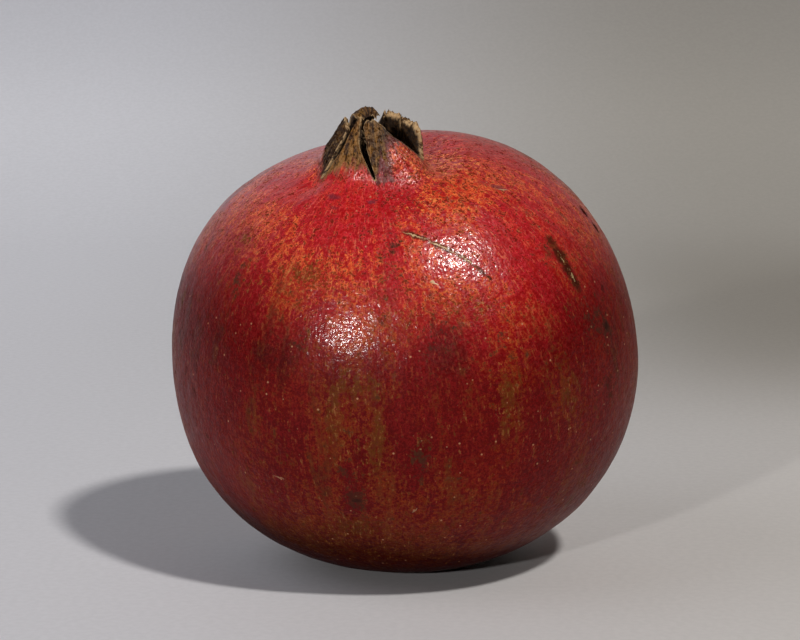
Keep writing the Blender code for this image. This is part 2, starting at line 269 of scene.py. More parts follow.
def root_ring(azimuth):
    """Radius and height of the ring that the sepals grow from."""
    radius = np.full(np.shape(azimuth), ROOT_RADIUS)
    height = np.full(np.shape(azimuth), ROOT_HEIGHT)
    for centre, spread, flare, rise in RING_BUMPS:
        off = (azimuth - math.radians(centre) + np.pi) % (2 * np.pi) - np.pi
        near = np.exp(-((off / math.radians(spread)) ** 2))
        radius = radius + flare * near
        height = height + rise * near
    return radius, height


def neck_points(azimuth, t):
    """Neck from the body at t = 0 to the root ring of the calyx at t = 1."""
    start = body_points(column_ways(np.full_like(azimuth, NECK_ANGLE), azimuth))
    below = body_points(column_ways(np.full_like(azimuth, NECK_ANGLE + 0.02), azimuth))
    leave = start - below
    leave = leave / np.linalg.norm(leave, axis=-1, keepdims=True) * NECK_PULL
    end = calyx_points(azimuth, *root_ring(azimuth))
    flare = np.exp(-(((azimuth - math.radians(FLARE_AT)) / math.radians(FLARE_SPREAD)) ** 2))
    upright = UP * (NECK_UPRIGHT - FLARE_LOSS * flare)[..., None]
    inward = calyx_side(azimuth) * (NECK_INWARD + FLARE_GAIN * flare)[..., None]
    arrive = (upright - inward) * ROOT_PULL
    t = t[..., None]
    return (start * (2 * t ** 3 - 3 * t ** 2 + 1) + leave * (t ** 3 - 2 * t ** 2 + t)
            + end * (3 * t ** 2 - 2 * t ** 3) + arrive * (t ** 3 - t ** 2))


def wander(count, lump, seed):
    """Smooth random line of numbers about zero, one for each of count steps."""
    places = np.linspace(0, lump, count)
    return np.array([noise.noise(Vector((p, seed * 3.7, 0.3))) for p in places])


def sheet_noise(rows, columns, lumps, seed):
    """Smooth random sheet over rows and columns; lumps gives cells each way."""
    out = np.empty((len(rows), len(columns)))
    for i, a in enumerate(rows):
        for j, b in enumerate(columns):
            out[i, j] = noise.noise(Vector((a * lumps[0], b * lumps[1], seed * 5.1)))
    return out


def torn_rise(name, index, u, up):
    """Heights of the rows once the corners are rounded off and the rim is torn."""
    corner, ragged = RIMS[name]
    count = u.shape[1]
    rim = wander(count, 7, index + 1) + 0.6 * wander(count, 19, index + 9)
    rim = rim + 0.4 * wander(count, 33, index + 15)
    rag = ragged * rim[None, :] * up ** 3
    round_off = np.abs(u) ** (ROLLED_CORNER if name == ROLLED else SEPAL_CORNER)
    return up * (1 - corner * round_off * up ** 2 - rag)


def husk_shape(name, index, across, climb):
    """Ribs, lumps and grit of a dry sepal, and the ridge along the folded one."""
    u, up = np.meshgrid(across, climb)
    fold = np.clip(up * 4, 0, 1) * (1 - np.abs(u) ** 8)
    ribs = sheet_noise(climb, across, (2.2, 8.5), index + 30)
    ribs = ribs + 0.5 * sheet_noise(climb, across, (4.0, 19.0), index + 50)
    lumps = sheet_noise(climb, across, (3.0, 2.4), index + 70)
    grit = sheet_noise(climb, across, (9.0, 26.0), index + 90)
    shape = RIB_HEIGHT * ribs * fold + LUMP_HEIGHT * lumps * fold + GRIT_HEIGHT * grit * fold
    if name == FOLDED:
        shape = shape + FOLD_RIDGE * np.exp(-((u + 0.88) / 0.10) ** 2) * np.clip(up * 5, 0, 1)
    return shape


def sepal_sheet(sepal, index, across, climb):
    """Outer and inner faces of a sepal over its columns and heights."""
    name, left, right, tip_left, tip_right, tip_radius, tip_height = sepal[:7]
    left_power, right_power, lean_power, gap = sepal[7:]
    u, up = np.meshgrid(across, climb)
    rise = torn_rise(name, index, u, up)
    low_left, low_right = math.radians(left), math.radians(right)
    top_left, top_right = math.radians(tip_left), math.radians(tip_right)
    grow = np.clip(rise, 1e-6, None)
    azimuth_left = low_left + (top_left - low_left) * grow ** left_power
    azimuth_right = low_right + (top_right - low_right) * grow ** right_power
    azimuth = (azimuth_left + azimuth_right + (azimuth_right - azimuth_left) * u) / 2
    root_radius, root_height = root_ring(low_left + (low_right - low_left) * (u + 1) / 2)
    straight = FOLDED_LEAN if name == FOLDED else STRAIGHT_LEAN
    inward = straight * rise + (1 - straight) * grow ** lean_power
    radius = root_radius + (tip_radius - root_radius) * inward
    height = root_height + (tip_height - root_height) * rise
    waver = 1 + 0.5 * wander(len(climb), 5, index + 20)[:, None]
    open_gap = gap * np.sin(np.pi * np.clip(rise, 0, 1)) ** 0.6 * waver
    azimuth = azimuth - u ** 3 * open_gap / np.maximum(radius, 0.002)
    bend = straight + (1 - straight) * lean_power * grow ** (lean_power - 1)
    slope = (tip_radius - root_radius) * bend
    tall = tip_height - root_height
    side = calyx_side(azimuth)
    out = side * tall[..., None] - UP * slope[..., None]
    out = out / np.linalg.norm(out, axis=-1, keepdims=True)
    out = np.where(up[..., None] > 0, out, side)
    thick = WALL + (TIP_WALL - WALL) * up
    rolled = np.zeros(u.shape + (3,))
    if name == ROLLED:
        bend_at = CURL_FROM * (1 - 0.22 * np.abs(u) ** 2.2)
        over = np.maximum(0, rise - bend_at) / (1 - bend_at)
        turn = CURL_TURN * over
        stem = np.minimum(rise, bend_at)
        radius = root_radius + (tip_radius - root_radius) * stem
        height = root_height + tall * stem
        inwards = -calyx_side(np.array((top_left + top_right) / 2))
        rolled = CURL_RADIUS * (inwards * (1 - np.cos(turn))[..., None]
                                + UP * np.sin(turn)[..., None])
        upward = UP * tall[..., None] + side * slope[..., None]
        upward = upward / np.linalg.norm(upward, axis=-1, keepdims=True)
        out = out * np.cos(turn)[..., None] + upward * np.sin(turn)[..., None]
    edge = np.maximum(0, 1 - np.abs(u) ** 14) ** 0.5 * np.maximum(0, 1 - up ** 26) ** 0.5
    thick = thick * np.where(up > 0, edge, 1)
    outer = calyx_points(azimuth, radius, height) + rolled
    shape = husk_shape(name, index, across, climb)
    outer = outer + out * shape[..., None] * np.clip(1 - up ** 12, 0, 1)[..., None]
    inner = outer - out * thick[..., None]
    return outer, inner


def smooth_step(low, high, value):
    t = np.clip((value - low) / (high - low), 0, 1)
    return t * t * (3 - 2 * t)


def rind_patch(index, sepal):
    """One sector of the skin from stem hollow to cup floor, with its painted fields."""
    v = np.linspace(-1, 1, COLUMNS + 1)
    across = np.sign(v) * (1 - (1 - np.abs(v)) ** CROWDING)
    left, right = math.radians(sepal[1]), math.radians(sepal[2])
    rows, fields = [], {key: [] for key in ("dry", "inside", "rim", "climb", "spin", "reach")}

    def add(points, spin, reach, dry=0.0, inside=0.0, rim=0.0, climb=0.0):
        points = np.atleast_3d(points).reshape(-1, len(v), 3)
        for i, line in enumerate(points):
            rows.append(line)
            for key, value in (("dry", dry), ("inside", inside), ("rim", rim), ("climb", climb),
                               ("spin", spin), ("reach", reach)):
                value = np.asarray(value, float)
                if value.ndim == 2:
                    value = value[i]
                elif value.ndim == 1 and len(value) == len(points):
                    value = value[i]
                fields[key].append(np.broadcast_to(value, len(v)))

    even = left + (right - left) * (v + 1) / 2
    close = left + (right - left) * (across + 1) / 2
    rings = np.array(REST_RINGS)
    a, r = np.meshgrid(even, rings)
    add(settle(np.stack([r * np.sin(a), -r * np.cos(a), np.zeros_like(a)], -1)),
        spin=even, reach=MEAN_RADIUS * math.pi - rings)
    angles = np.linspace(math.pi - REST_ANGLE, NECK_ANGLE, BODY_ROWS)
    share = np.maximum(0, 1 - (angles - NECK_ANGLE) / CROWDING_ANGLE)[:, None]
    azimuth = even[None] + (close - even)[None] * share
    grid = np.broadcast_to(angles[:, None], azimuth.shape)
    add(settle(body_points(column_ways(grid, azimuth))), spin=azimuth, reach=MEAN_RADIUS * angles)
    t = np.linspace(0, 1, NECK_ROWS)[1:]
    a, tt = np.meshgrid(close, t)
    top = MEAN_RADIUS * NECK_ANGLE
    start = np.interp(across, (-1, 0, 1), DRY_FROM[sepal[0]])
    below = 0.5 - ((1 - tt) + start) / DRY_BAND
    add(neck_points(a, tt), spin=close, reach=top - NECK_LENGTH * t, dry=below)
    climb = 1 - (1 - np.linspace(0, 1, SEPAL_ROWS)) ** CROWDING
    outer, inner = sepal_sheet(sepal, index, across, climb)
    u, up = np.meshgrid(across, climb)
    rim_up, rim_side = RIM_BAND[sepal[0]]
    # Pale rim band: partly torn rim, partly painted highlight on the edges
    rim = np.maximum(smooth_step(rim_up, 1.0, up),
                     smooth_step(rim_side, 0.995, np.abs(u)) * (up > 0))
    rim_dry = 0.5 + (np.abs(u) - 0.80) / 0.30 * smooth_step(0.0, 0.3, up)
    level = top - NECK_LENGTH - SEPAL_LENGTH * climb
    dry = np.maximum(0.5 + (up - start) / DRY_BAND, np.maximum(rim * 1.2, rim_dry - 0.1))
    add(outer[1:], spin=close, reach=level[1:], dry=dry[1:], rim=rim[1:], climb=up[1:])
    down = up[-2::-1]
    # Inner faces are marked inside and painted dark: partly painted shade
    add(inner[-2::-1], spin=close, reach=level[-2::-1], dry=1.0,
        inside=smooth_step(1.0, 0.93, down), rim=rim[-2::-1], climb=down)
    root = inner[0] - ORIGIN
    height = root @ UP
    flat = root - height[:, None] * UP
    radius = np.linalg.norm(flat, axis=1)
    way = flat / radius[:, None]
    for t in np.linspace(0, 1, CUP_ROWS)[1:]:
        bend = t * math.pi / 2
        out = radius * math.cos(bend) ** 0.45 + CUP_BULGE * math.sin(2 * bend)
        if t == 1:
            out = out * 0
        low = height + (CUP_FLOOR - height) * math.sin(bend) ** 0.8
        add(ORIGIN + way * out[:, None] + UP * low[:, None], spin=close, dry=1.0, inside=1.0,
            reach=top - CUP_LENGTH * t)
    return np.array(rows), {k: np.array(x) for k, x in fields.items()}


# Soft patches on the skin: degrees right of the viewer, degrees up, spreads, strength
ORANGE = [(14, 67, 13, 8, 1.0), (-36, 61, 12, 5, 1.0), (30, 58, 14, 8, 0.6),
          (14, 48, 14, 6, 0.7), (-44, 40, 12, 6, 0.45), (-20, 28, 14, 7, 0.6),
          (2, -48, 48, 5, 0.8), (-14, -38, 14, 4, 0.8), (26, 2, 7, 12, 0.5),
          (43, -5, 6, 10, 0.5), (-12, 14, 9, 6, 0.4), (-40, -42, 20, 5, 0.6),
          (12, 24, 8, 5, 0.4), (-62, 40, 9, 8, 0.4), (-14, -4, 6, 9, 0.6),
          (50, 24, 5, 8, 0.4), (-32, 22, 8, 6, 0.5), (-2, -30, 34, 12, 0.42),
          (-17, -8, 4, 14, 0.45), (-7, -12, 3, 14, 0.4), (24, -8, 4, 12, 0.4)]
CRIMSON = [(-42, 51, 16, 4, 0.9), (-14, 50, 13, 6, 1.0), (58, 66, 26, 9, 0.8),
           (-22, 40, 9, 5, 0.5), (36, 40, 10, 8, 0.5), (-6, 24, 6, 4, 0.4),
           (40, 28, 8, 8, 0.5), (16, -12, 6, 10, 0.5), (-58, -10, 12, 14, 0.5),
           (34, -14, 7, 12, 0.4), (56, 10, 10, 16, 0.5)]
MAROON = [(-50, 8, 14, 10, 0.5), (10, 10, 8, 8, 0.8), (62, 8, 9, 14, 0.5),
          (-32, 8, 8, 8, 0.7), (34, 8, 6, 6, 0.4), (-72, 4, 12, 20, 0.45),
          (48, 3, 4, 12, 0.4), (-16, -22, 8, 6, 0.4)]
OLIVE = [(-27, 28, 7, 4, 0.8), (-55, 34, 5, 4, 0.8), (-13, 2, 5, 6, 0.8),
         (-9, -16, 5, 8, 0.6), (26, -2, 4, 10, 0.45), (44, -5, 4, 8, 0.7),
         (4, -15, 3, 7, 0.7), (-15, -37, 7, 4, 0.8), (-44, 24, 6, 5, 0.5),
         (46, 18, 3, 5, 0.5), (-4, 27, 4, 8, 0.5), (18, 20, 8, 4, 0.6),
         (-24, 12, 4, 4, 0.5), (2, 18, 6, 4, 0.4), (-40, -30, 8, 5, 0.4),
         (-18, -8, 2.5, 13, 0.6), (-6, -6, 2.2, 14, 0.55), (25, -3, 2.6, 12, 0.3),
         (12, -18, 2.4, 12, 0.45), (-30, -16, 3, 12, 0.45), (36, -8, 2.2, 12, 0.4)]
STAIN = [(-13, -28, 3, 5, 0.8), (4, -17, 2.5, 5, 0.7), (9, 13, 5, 5, 0.45),
         (-4, 36, 2.5, 5, 0.6), (-49, 24, 2, 5, 0.6), (61, 10, 3, 3, 0.8),
         (56, 13, 6, 4, 0.5), (-4, 26, 2, 5, 0.4), (-26, 12, 2, 3, 0.5),
         (24, 11, 3, 4, 0.5), (-15, -20, 3, 3, 0.4), (60, -4, 4, 5, 0.4)]
# Where the skin is waxy under the lower bright spot, and pitted under the one on the neck;
# the waxy patch also lightens the colour under the bright spot, a painted highlight
GLEAM = [(-14.5, 14.5, 6, 4, 1.0)]
PITTED = [(-2, 63, 5.5, 6, 1.0)]


def soft_patches(patches, lon, lat):
    """Sum of soft spots over the directions of the body, held between 0 and 1."""
    total = np.zeros_like(lon)
    for at_lon, at_lat, wide, high, strength in patches:
        dx = ((lon - at_lon + 180) % 360 - 180) * np.cos(np.radians(at_lat)) / wide
        dy = (lat - at_lat) / high
        total = total + strength * np.exp(-(dx ** 2 + dy ** 2))
    return np.clip(total, 0, 1)


def darker_below_and_shade(lon, lat):
    """Share of the darker lower colour, partly painted shade: it climbs a little at the sides,
    less where the key falls.
    """
    side = np.minimum(1, np.abs(lon) / 56) ** 2
    level = lat - 12 * side + 5 * np.exp(-(((lon - 30) / 18) ** 2))
    return smooth_step(38, 0, level)


def paint_fields(mesh, fields):
    """Keep each field on the points of the mesh, where the finishes read it."""
    for name, values in fields.items():
        values = np.asarray(values, np.float32)
        kind = "FLOAT_VECTOR" if values.ndim == 2 else "FLOAT"
        layer = mesh.attributes.new(name, kind, "POINT")
        layer.data.foreach_set("vector" if values.ndim == 2 else "value", values.ravel())


def linked(name, mesh):
    thing = bpy.data.objects.new(name, mesh)
    bpy.context.scene.collection.objects.link(thing)
    return thing


def add_body_fields(points, fields):
    """Fields that follow from the place of each point on the body."""
    ways = points - np.array([0, 0, CENTRE_HEIGHT])
    lon = np.degrees(np.arctan2(ways[:, 0], -ways[:, 1]))
    lat = np.degrees(np.arctan2(ways[:, 2], np.hypot(ways[:, 0], ways[:, 1])))
    for name, patches in (("orange", ORANGE), ("crimson", CRIMSON), ("maroon", MAROON),
                          ("olive", OLIVE), ("stain", STAIN), ("gleam", GLEAM),
                          ("pitted", PITTED)):
        fields[name] = soft_patches(patches, lon, lat)
    fields["unseen"] = smooth_step(62, 95, np.abs(lon)) * smooth_step(75, 55, lat)
    # Darker lower colour, partly painted shade; the waxy patch eases it under the lower bright
    # spot, a painted highlight
    fields["lower"] = darker_below_and_shade(lon, lat) * (1 - 0.30 * fields["gleam"])
    # Painted shade on the underside of the fruit
    fields["under"] = smooth_step(-32, -52, lat + 7 * np.sin(np.radians(lon)))
    turn, reach = fields.pop("spin"), fields.pop("reach")
    fields["grain"] = np.stack([MEAN_RADIUS * np.sin(turn), MEAN_RADIUS * np.cos(turn),
                                reach * GRAIN_DRAWN], -1)
    rel = points - ORIGIN
    spin = np.arctan2(rel @ RIGHT, rel @ NEAR)
    fields["fibre"] = np.stack([HUSK_RADIUS * np.sin(spin), HUSK_RADIUS * np.cos(spin),
                                (rel @ UP) * FIBRE_DRAWN], -1)
    skin = 1 - np.clip(np.maximum(fields.pop("climb") * 4, fields["inside"]), 0, 1)
    fields["relief"] = skin * smooth_step(0.0, 0.004, points[:, 2])


def make_rind():
    """Rind and calyx as one closed skin, sewn from the six sectors."""
    points, fields, faces = [], {}, []
    start = 0
    for index, sepal in enumerate(SEPALS):
        rows, painted = rind_patch(index, sepal)
        count, width = rows.shape[:2]
        points.append(rows.reshape(-1, 3))
        painted["husk_light"] = np.full((count, width), HUSK_LIGHT[sepal[0]])
        painted["dusk"] = np.full((count, width), DUSK[sepal[0]])
        for key, value in painted.items():
            fields.setdefault(key, []).append(value.ravel())
        at = np.arange(count * width).reshape(count, width) + start
        quads = np.stack([at[:-1, :-1], at[:-1, 1:], at[1:, 1:], at[1:, :-1]], -1)
        faces.append(quads.reshape(-1, 4))
        start += count * width
    points = np.concatenate(points)
    fields = {key: np.concatenate(value) for key, value in fields.items()}
    add_body_fields(points, fields)
    mesh = bpy.data.meshes.new("rind_skin")
    mesh.from_pydata((points + SHIFT).tolist(), [], np.concatenate(faces).tolist())
    paint_fields(mesh, fields)
    shape = bmesh.new()
    shape.from_mesh(mesh)
    bmesh.ops.remove_doubles(shape, verts=shape.verts[:], dist=2e-6)
    rims = [edge for edge in shape.edges if edge.is_boundary]
    bmesh.ops.holes_fill(shape, edges=rims, sides=8)
    bmesh.ops.recalc_face_normals(shape, faces=shape.faces[:])
    for face in shape.faces:
        face.smooth = True
    shape.to_mesh(mesh)
    shape.free()
    return linked("rind_skin", mesh)


# Helpers for node trees
def feed(tree, value, socket):
    """Link a socket to another one, or set its value."""
    if hasattr(value, "links"):
        tree.links.new(value, socket)
    else:
        socket.default_value = value


def node(tree, kind, inputs=None, **settings):
    """Node with its settings; inputs gives the links and values of its sockets by key."""
    made = tree.nodes.new(kind)
    for key, value in settings.items():
        setattr(made, key, value)
    for key, value in (inputs or {}).items():
        if value is not None:
            feed(tree, value, made.inputs[key])
    return made


def gmath(tree, operation, a, b=None, clamp=False):
    made = node(tree, "ShaderNodeMath", {0: a, 1: b}, operation=operation, use_clamp=clamp)
    return made.outputs[0]


def gvector(tree, operation, a, b=None, scale=None):
    made = node(tree, "ShaderNodeVectorMath", {0: a, 1: b, "Scale": scale},
                operation=operation)
    return made.outputs["Value" if operation == "LENGTH" else "Vector"]


def open_tree(name, inputs):
    """Geometry tree with its inputs and its one output; also gives its input sockets."""
    tree = bpy.data.node_groups.new(name, "GeometryNodeTree")
    for label, kind, default in inputs:
        socket = tree.interface.new_socket(label, in_out="INPUT",
                                           socket_type="NodeSocket" + kind)
        if default is not None:
            socket.default_value = default
    tree.interface.new_socket("Geometry", in_out="OUTPUT", socket_type="NodeSocketGeometry")
    return tree, node(tree, "NodeGroupInput").outputs


def close_tree(tree, result, material):
    """Cover the result with its material and give it out of the tree."""
    cover = node(tree, "GeometryNodeSetMaterial", {"Geometry": result, "Material": material})
    node(tree, "NodeGroupOutput", {0: cover.outputs[0]})


def applied(thing, tree, values):
    """Run a geometry tree on an object and keep the result as a plain mesh."""
    modifier = thing.modifiers.new(tree.name, "NODES")
    modifier.node_group = tree
    for item in tree.interface.items_tree:
        if item.item_type == "SOCKET" and item.in_out == "INPUT" and item.name in values:
            modifier[item.identifier] = values[item.name]
    graph = bpy.context.evaluated_depsgraph_get()
    result = bpy.data.meshes.new_from_object(thing.evaluated_get(graph), depsgraph=graph)
    thing.modifiers.remove(modifier)
    old = thing.data
    thing.data = result
    result.name = thing.name
    bpy.data.meshes.remove(old)


def leather_relief():
    """Low dents, pits and wrinkles pushed along the normals of the skin."""
    tree, out = open_tree("leather_relief", (
        ("Geometry", "Geometry", None), ("Dent height", "Float", DENT_HEIGHT),
        ("Dent size", "Float", 0.012), ("Pit depth", "Float", PIT_DEPTH),
        ("Pit size", "Float", 0.0024), ("Wrinkle height", "Float", 0.00006),
        ("Wrinkle size", "Float", 0.0035), ("Seed", "Float", 3.0), ("Skin", "Material", None)))
    relief = node(tree, "GeometryNodeInputNamedAttribute", {"Name": "relief"},
                  data_type="FLOAT")
    grain = node(tree, "GeometryNodeInputNamedAttribute", {"Name": "grain"},
                 data_type="FLOAT_VECTOR")
    place = node(tree, "GeometryNodeInputPosition")
    normal = node(tree, "GeometryNodeInputNormal")
    parts = []
    for size, height, where, detail in (("Dent size", "Dent height", place, 1.5),
                                        ("Pit size", "Pit depth", place, 2.0),
                                        ("Wrinkle size", "Wrinkle height", grain, 2.0)):
        cloud = node(tree, "ShaderNodeTexNoise",
                     {"Vector": where.outputs[0], "W": out["Seed"], "Detail": detail,
                      "Scale": gmath(tree, "DIVIDE", 1.0, out[size])}, noise_dimensions="4D")
        level = gmath(tree, "SUBTRACT", cloud.outputs["Fac"], 0.5)
        level = gmath(tree, "MULTIPLY", level, 2.0)
        parts.append(gmath(tree, "MULTIPLY", level, out[height]))
    total = gmath(tree, "ADD", gmath(tree, "ADD", parts[0], parts[1]), parts[2])
    total = gmath(tree, "MULTIPLY", total, relief.outputs[0])
    move = gvector(tree, "SCALE", normal.outputs[0], scale=total)
    shift = node(tree, "GeometryNodeSetPosition", {"Geometry": out["Geometry"], "Offset": move})
    real = node(tree, "GeometryNodeRealizeInstances", {0: shift.outputs[0]})
    close_tree(tree, real.outputs[0], out["Skin"])
    return tree


def stamen_tree():
    """Filaments scattered over a disc, bent and crowded inward, each with an anther."""
    tree, out = open_tree("stamen_tuft", (
        ("Geometry", "Geometry", None), ("Count density", "Float", 1.6e6),
        ("Spread", "Float", 0.0052), ("Height", "Float", STAMEN_TALL),
        ("Thickness", "Float", 0.00016), ("Anther", "Float", 0.00042),
        ("Gather", "Float", 0.42), ("Tangle", "Float", 0.0011), ("Seed", "Int", 7),
        ("Dry", "Material", None)))
    disc = node(tree, "GeometryNodeMeshCircle", {"Vertices": 40, "Radius": out["Spread"]},
                fill_type="TRIANGLE_FAN")
    spots = node(tree, "GeometryNodeDistributePointsOnFaces",
                 {"Mesh": disc.outputs[0], "Density": out["Count density"],
                  "Seed": out["Seed"]})
    strand = node(tree, "GeometryNodeCurvePrimitiveLine", {"End": (0, 0, 1)})
    fine = node(tree, "GeometryNodeResampleCurve", {"Curve": strand.outputs[0], "Count": 8})
    tall = node(tree, "FunctionNodeRandomValue", {2: 0.62, 3: 1.0, "Seed": out["Seed"]},
                data_type="FLOAT")
    place = node(tree, "GeometryNodeInstanceOnPoints",
                 {"Points": spots.outputs["Points"], "Instance": fine.outputs[0],
                  "Scale": gmath(tree, "MULTIPLY", tall.outputs[1], out["Height"])})
    loose = node(tree, "GeometryNodeRealizeInstances", {0: place.outputs[0]})
    # Each filament leans inward and strays the more, the higher up
    where = node(tree, "GeometryNodeInputPosition").outputs[0]
    along = node(tree, "GeometryNodeSplineParameter").outputs["Factor"]
    part = node(tree, "ShaderNodeSeparateXYZ", {0: where}).outputs
    curve = gmath(tree, "POWER", gmath(tree, "DIVIDE", part[2], out["Height"]), 1.5)
    pull = gmath(tree, "SUBTRACT", 1.0, gmath(tree, "MULTIPLY", curve, out["Gather"]))
    narrow = node(tree, "ShaderNodeCombineXYZ",
                  {0: gmath(tree, "MULTIPLY", part[0], pull),
                   1: gmath(tree, "MULTIPLY", part[1], pull), 2: part[2]})
    cloud = node(tree, "ShaderNodeTexNoise", {"Vector": where, "Scale": 420.0, "Detail": 1.0,
                                              "W": out["Seed"]}, noise_dimensions="4D")
    stray = gvector(tree, "SUBTRACT", cloud.outputs["Color"], (0.5, 0.5, 0.5))
    reach = gmath(tree, "MULTIPLY", along, gmath(tree, "MULTIPLY", out["Tangle"], 3.0))
    stray = gvector(tree, "SCALE", stray, scale=reach)
    bent = node(tree, "GeometryNodeSetPosition",
                {"Geometry": loose.outputs[0],
                 "Position": gvector(tree, "ADD", narrow.outputs[0], stray)})
    # Threads that taper, with a turned grain on each free end
    circle = node(tree, "GeometryNodeCurvePrimitiveCircle",
                  {"Resolution": 5, "Radius": out["Thickness"]})
    thin = gmath(tree, "SUBTRACT", 1.1, gmath(tree, "MULTIPLY", along, 0.45))
    taper = node(tree, "GeometryNodeSetCurveRadius",
                 {"Curve": bent.outputs[0], "Radius": thin})
    threads = node(tree, "GeometryNodeCurveToMesh",
                   {"Curve": taper.outputs[0], "Profile Curve": circle.outputs[0],
                    "Fill Caps": True})
    if "Scale" in threads.inputs:
        radius = node(tree, "GeometryNodeInputRadius")
        feed(tree, radius.outputs[0], threads.inputs["Scale"])
    ends = node(tree, "GeometryNodeCurveEndpointSelection", {"Start Size": 0, "End Size": 1})
    head = node(tree, "GeometryNodeMeshUVSphere",
                {"Segments": 7, "Rings": 5, "Radius": out["Anther"]})
    turn = node(tree, "FunctionNodeRandomValue",
                {0: (-1.1, -1.1, 0.0), 1: (1.1, 1.1, 6.28), "Seed": out["Seed"]},
                data_type="FLOAT_VECTOR")
    heads = node(tree, "GeometryNodeInstanceOnPoints",
                 {"Points": bent.outputs[0], "Selection": ends.outputs[0],
                  "Instance": head.outputs[0], "Rotation": turn.outputs[0],
                  "Scale": (0.75, 0.75, 1.5)})
    both = node(tree, "GeometryNodeJoinGeometry")
    for source in (heads.outputs[0], threads.outputs[0], out["Geometry"]):
        feed(tree, source, both.inputs[0])
    real = node(tree, "GeometryNodeRealizeInstances", {0: both.outputs[0]})
    smooth = node(tree, "GeometryNodeSetShadeSmooth", {0: real.outputs[0]})
    close_tree(tree, smooth.outputs[0], out["Dry"])
    return tree


def local_frame(lon, lat, tilt):
    """Place and turn of a mark on the skin; tilt is degrees clockwise from upright."""
    out = Vector(facing(lon, lat))
    east = Vector((math.cos(math.radians(lon)), math.sin(math.radians(lon)), 0))
    north = out.cross(east)
    slant = math.radians(tilt)
    along = north * math.cos(slant) + east * math.sin(slant)
    side = along.cross(out)
    turn = Matrix((side, along, out)).transposed()
    place = Vector(body_points(np.array(out)[None])[0] + SHIFT)
    return place, turn.to_euler()


# Marks on the skin: degrees right, degrees up, tilt, half length and half width in mm, strength
SCAR = [(3.8, 38.9, 113, 4.0, 0.85, 1.0), (11.2, 35.9, 120, 4.2, 0.90, 1.0),
        (17.0, 32.7, 130, 3.0, 0.80, 1.0), (20.9, 29.5, 136, 3.2, 0.62, 0.9)]
RIDGE = [(3.8, 38.9, 113, 3.4, 0.17, 0.8), (11.2, 35.9, 120, 3.6, 0.20, 1.0),
         (17.0, 32.7, 130, 2.6, 0.22, 1.0)]
SCRATCH = [(8, 26.8, 122, 1.0, 0.26, 1.0), (41, 50.8, 100, 1.4, 0.24, 0.7),
           (3, -31, 60, 1.0, 0.20, 0.4), (-34, -23, 110, 1.6, 0.18, 0.4)]
LESION = [(48.8, 34.2, -24, 3.2, 2.5, 0.8), (50.0, 30.4, -14, 4.4, 3.0, 1.0),
          (50.9, 27.4, -12, 4.2, 2.6, 1.0), (52.2, 23.6, -10, 4.4, 2.1, 0.9),
          (45.6, 32.0, -24, 3.6, 2.6, 0.50)]
CRACK = [(50.4, 29.0, -14, 2.7, 0.20, 1.0), (51.9, 25.0, -9, 1.9, 0.34, 0.9)]
BLUISH = [(39.4, 51.6, 118, 3.0, 1.1, 0.8), (-27.5, 49.6, 100, 2.2, 1.0, 0.8),
          (-12, 49.2, 90, 1.4, 0.7, 0.9), (-25.5, 46.5, 100, 1.3, 0.7, 0.6),
          (34, 53.8, 118, 1.8, 0.8, 0.4)]
BLACK = [(78.0, 38.5, -14, 2.2, 1.5, 1.0), (79.2, 33.6, -14, 2.2, 1.3, 1.0),
         (61, 11, 0, 1.6, 1.3, 0.8), (-13, -28.5, 100, 1.4, 0.6, 0.6),
         (64, 20, -10, 1.3, 0.8, 0.6), (23.4, 27.2, 130, 0.9, 0.5, 0.9),
         (60, -3, 0, 2.2, 1.0, 0.4), (7, 17, 10, 1.6, 0.8, 0.5)]


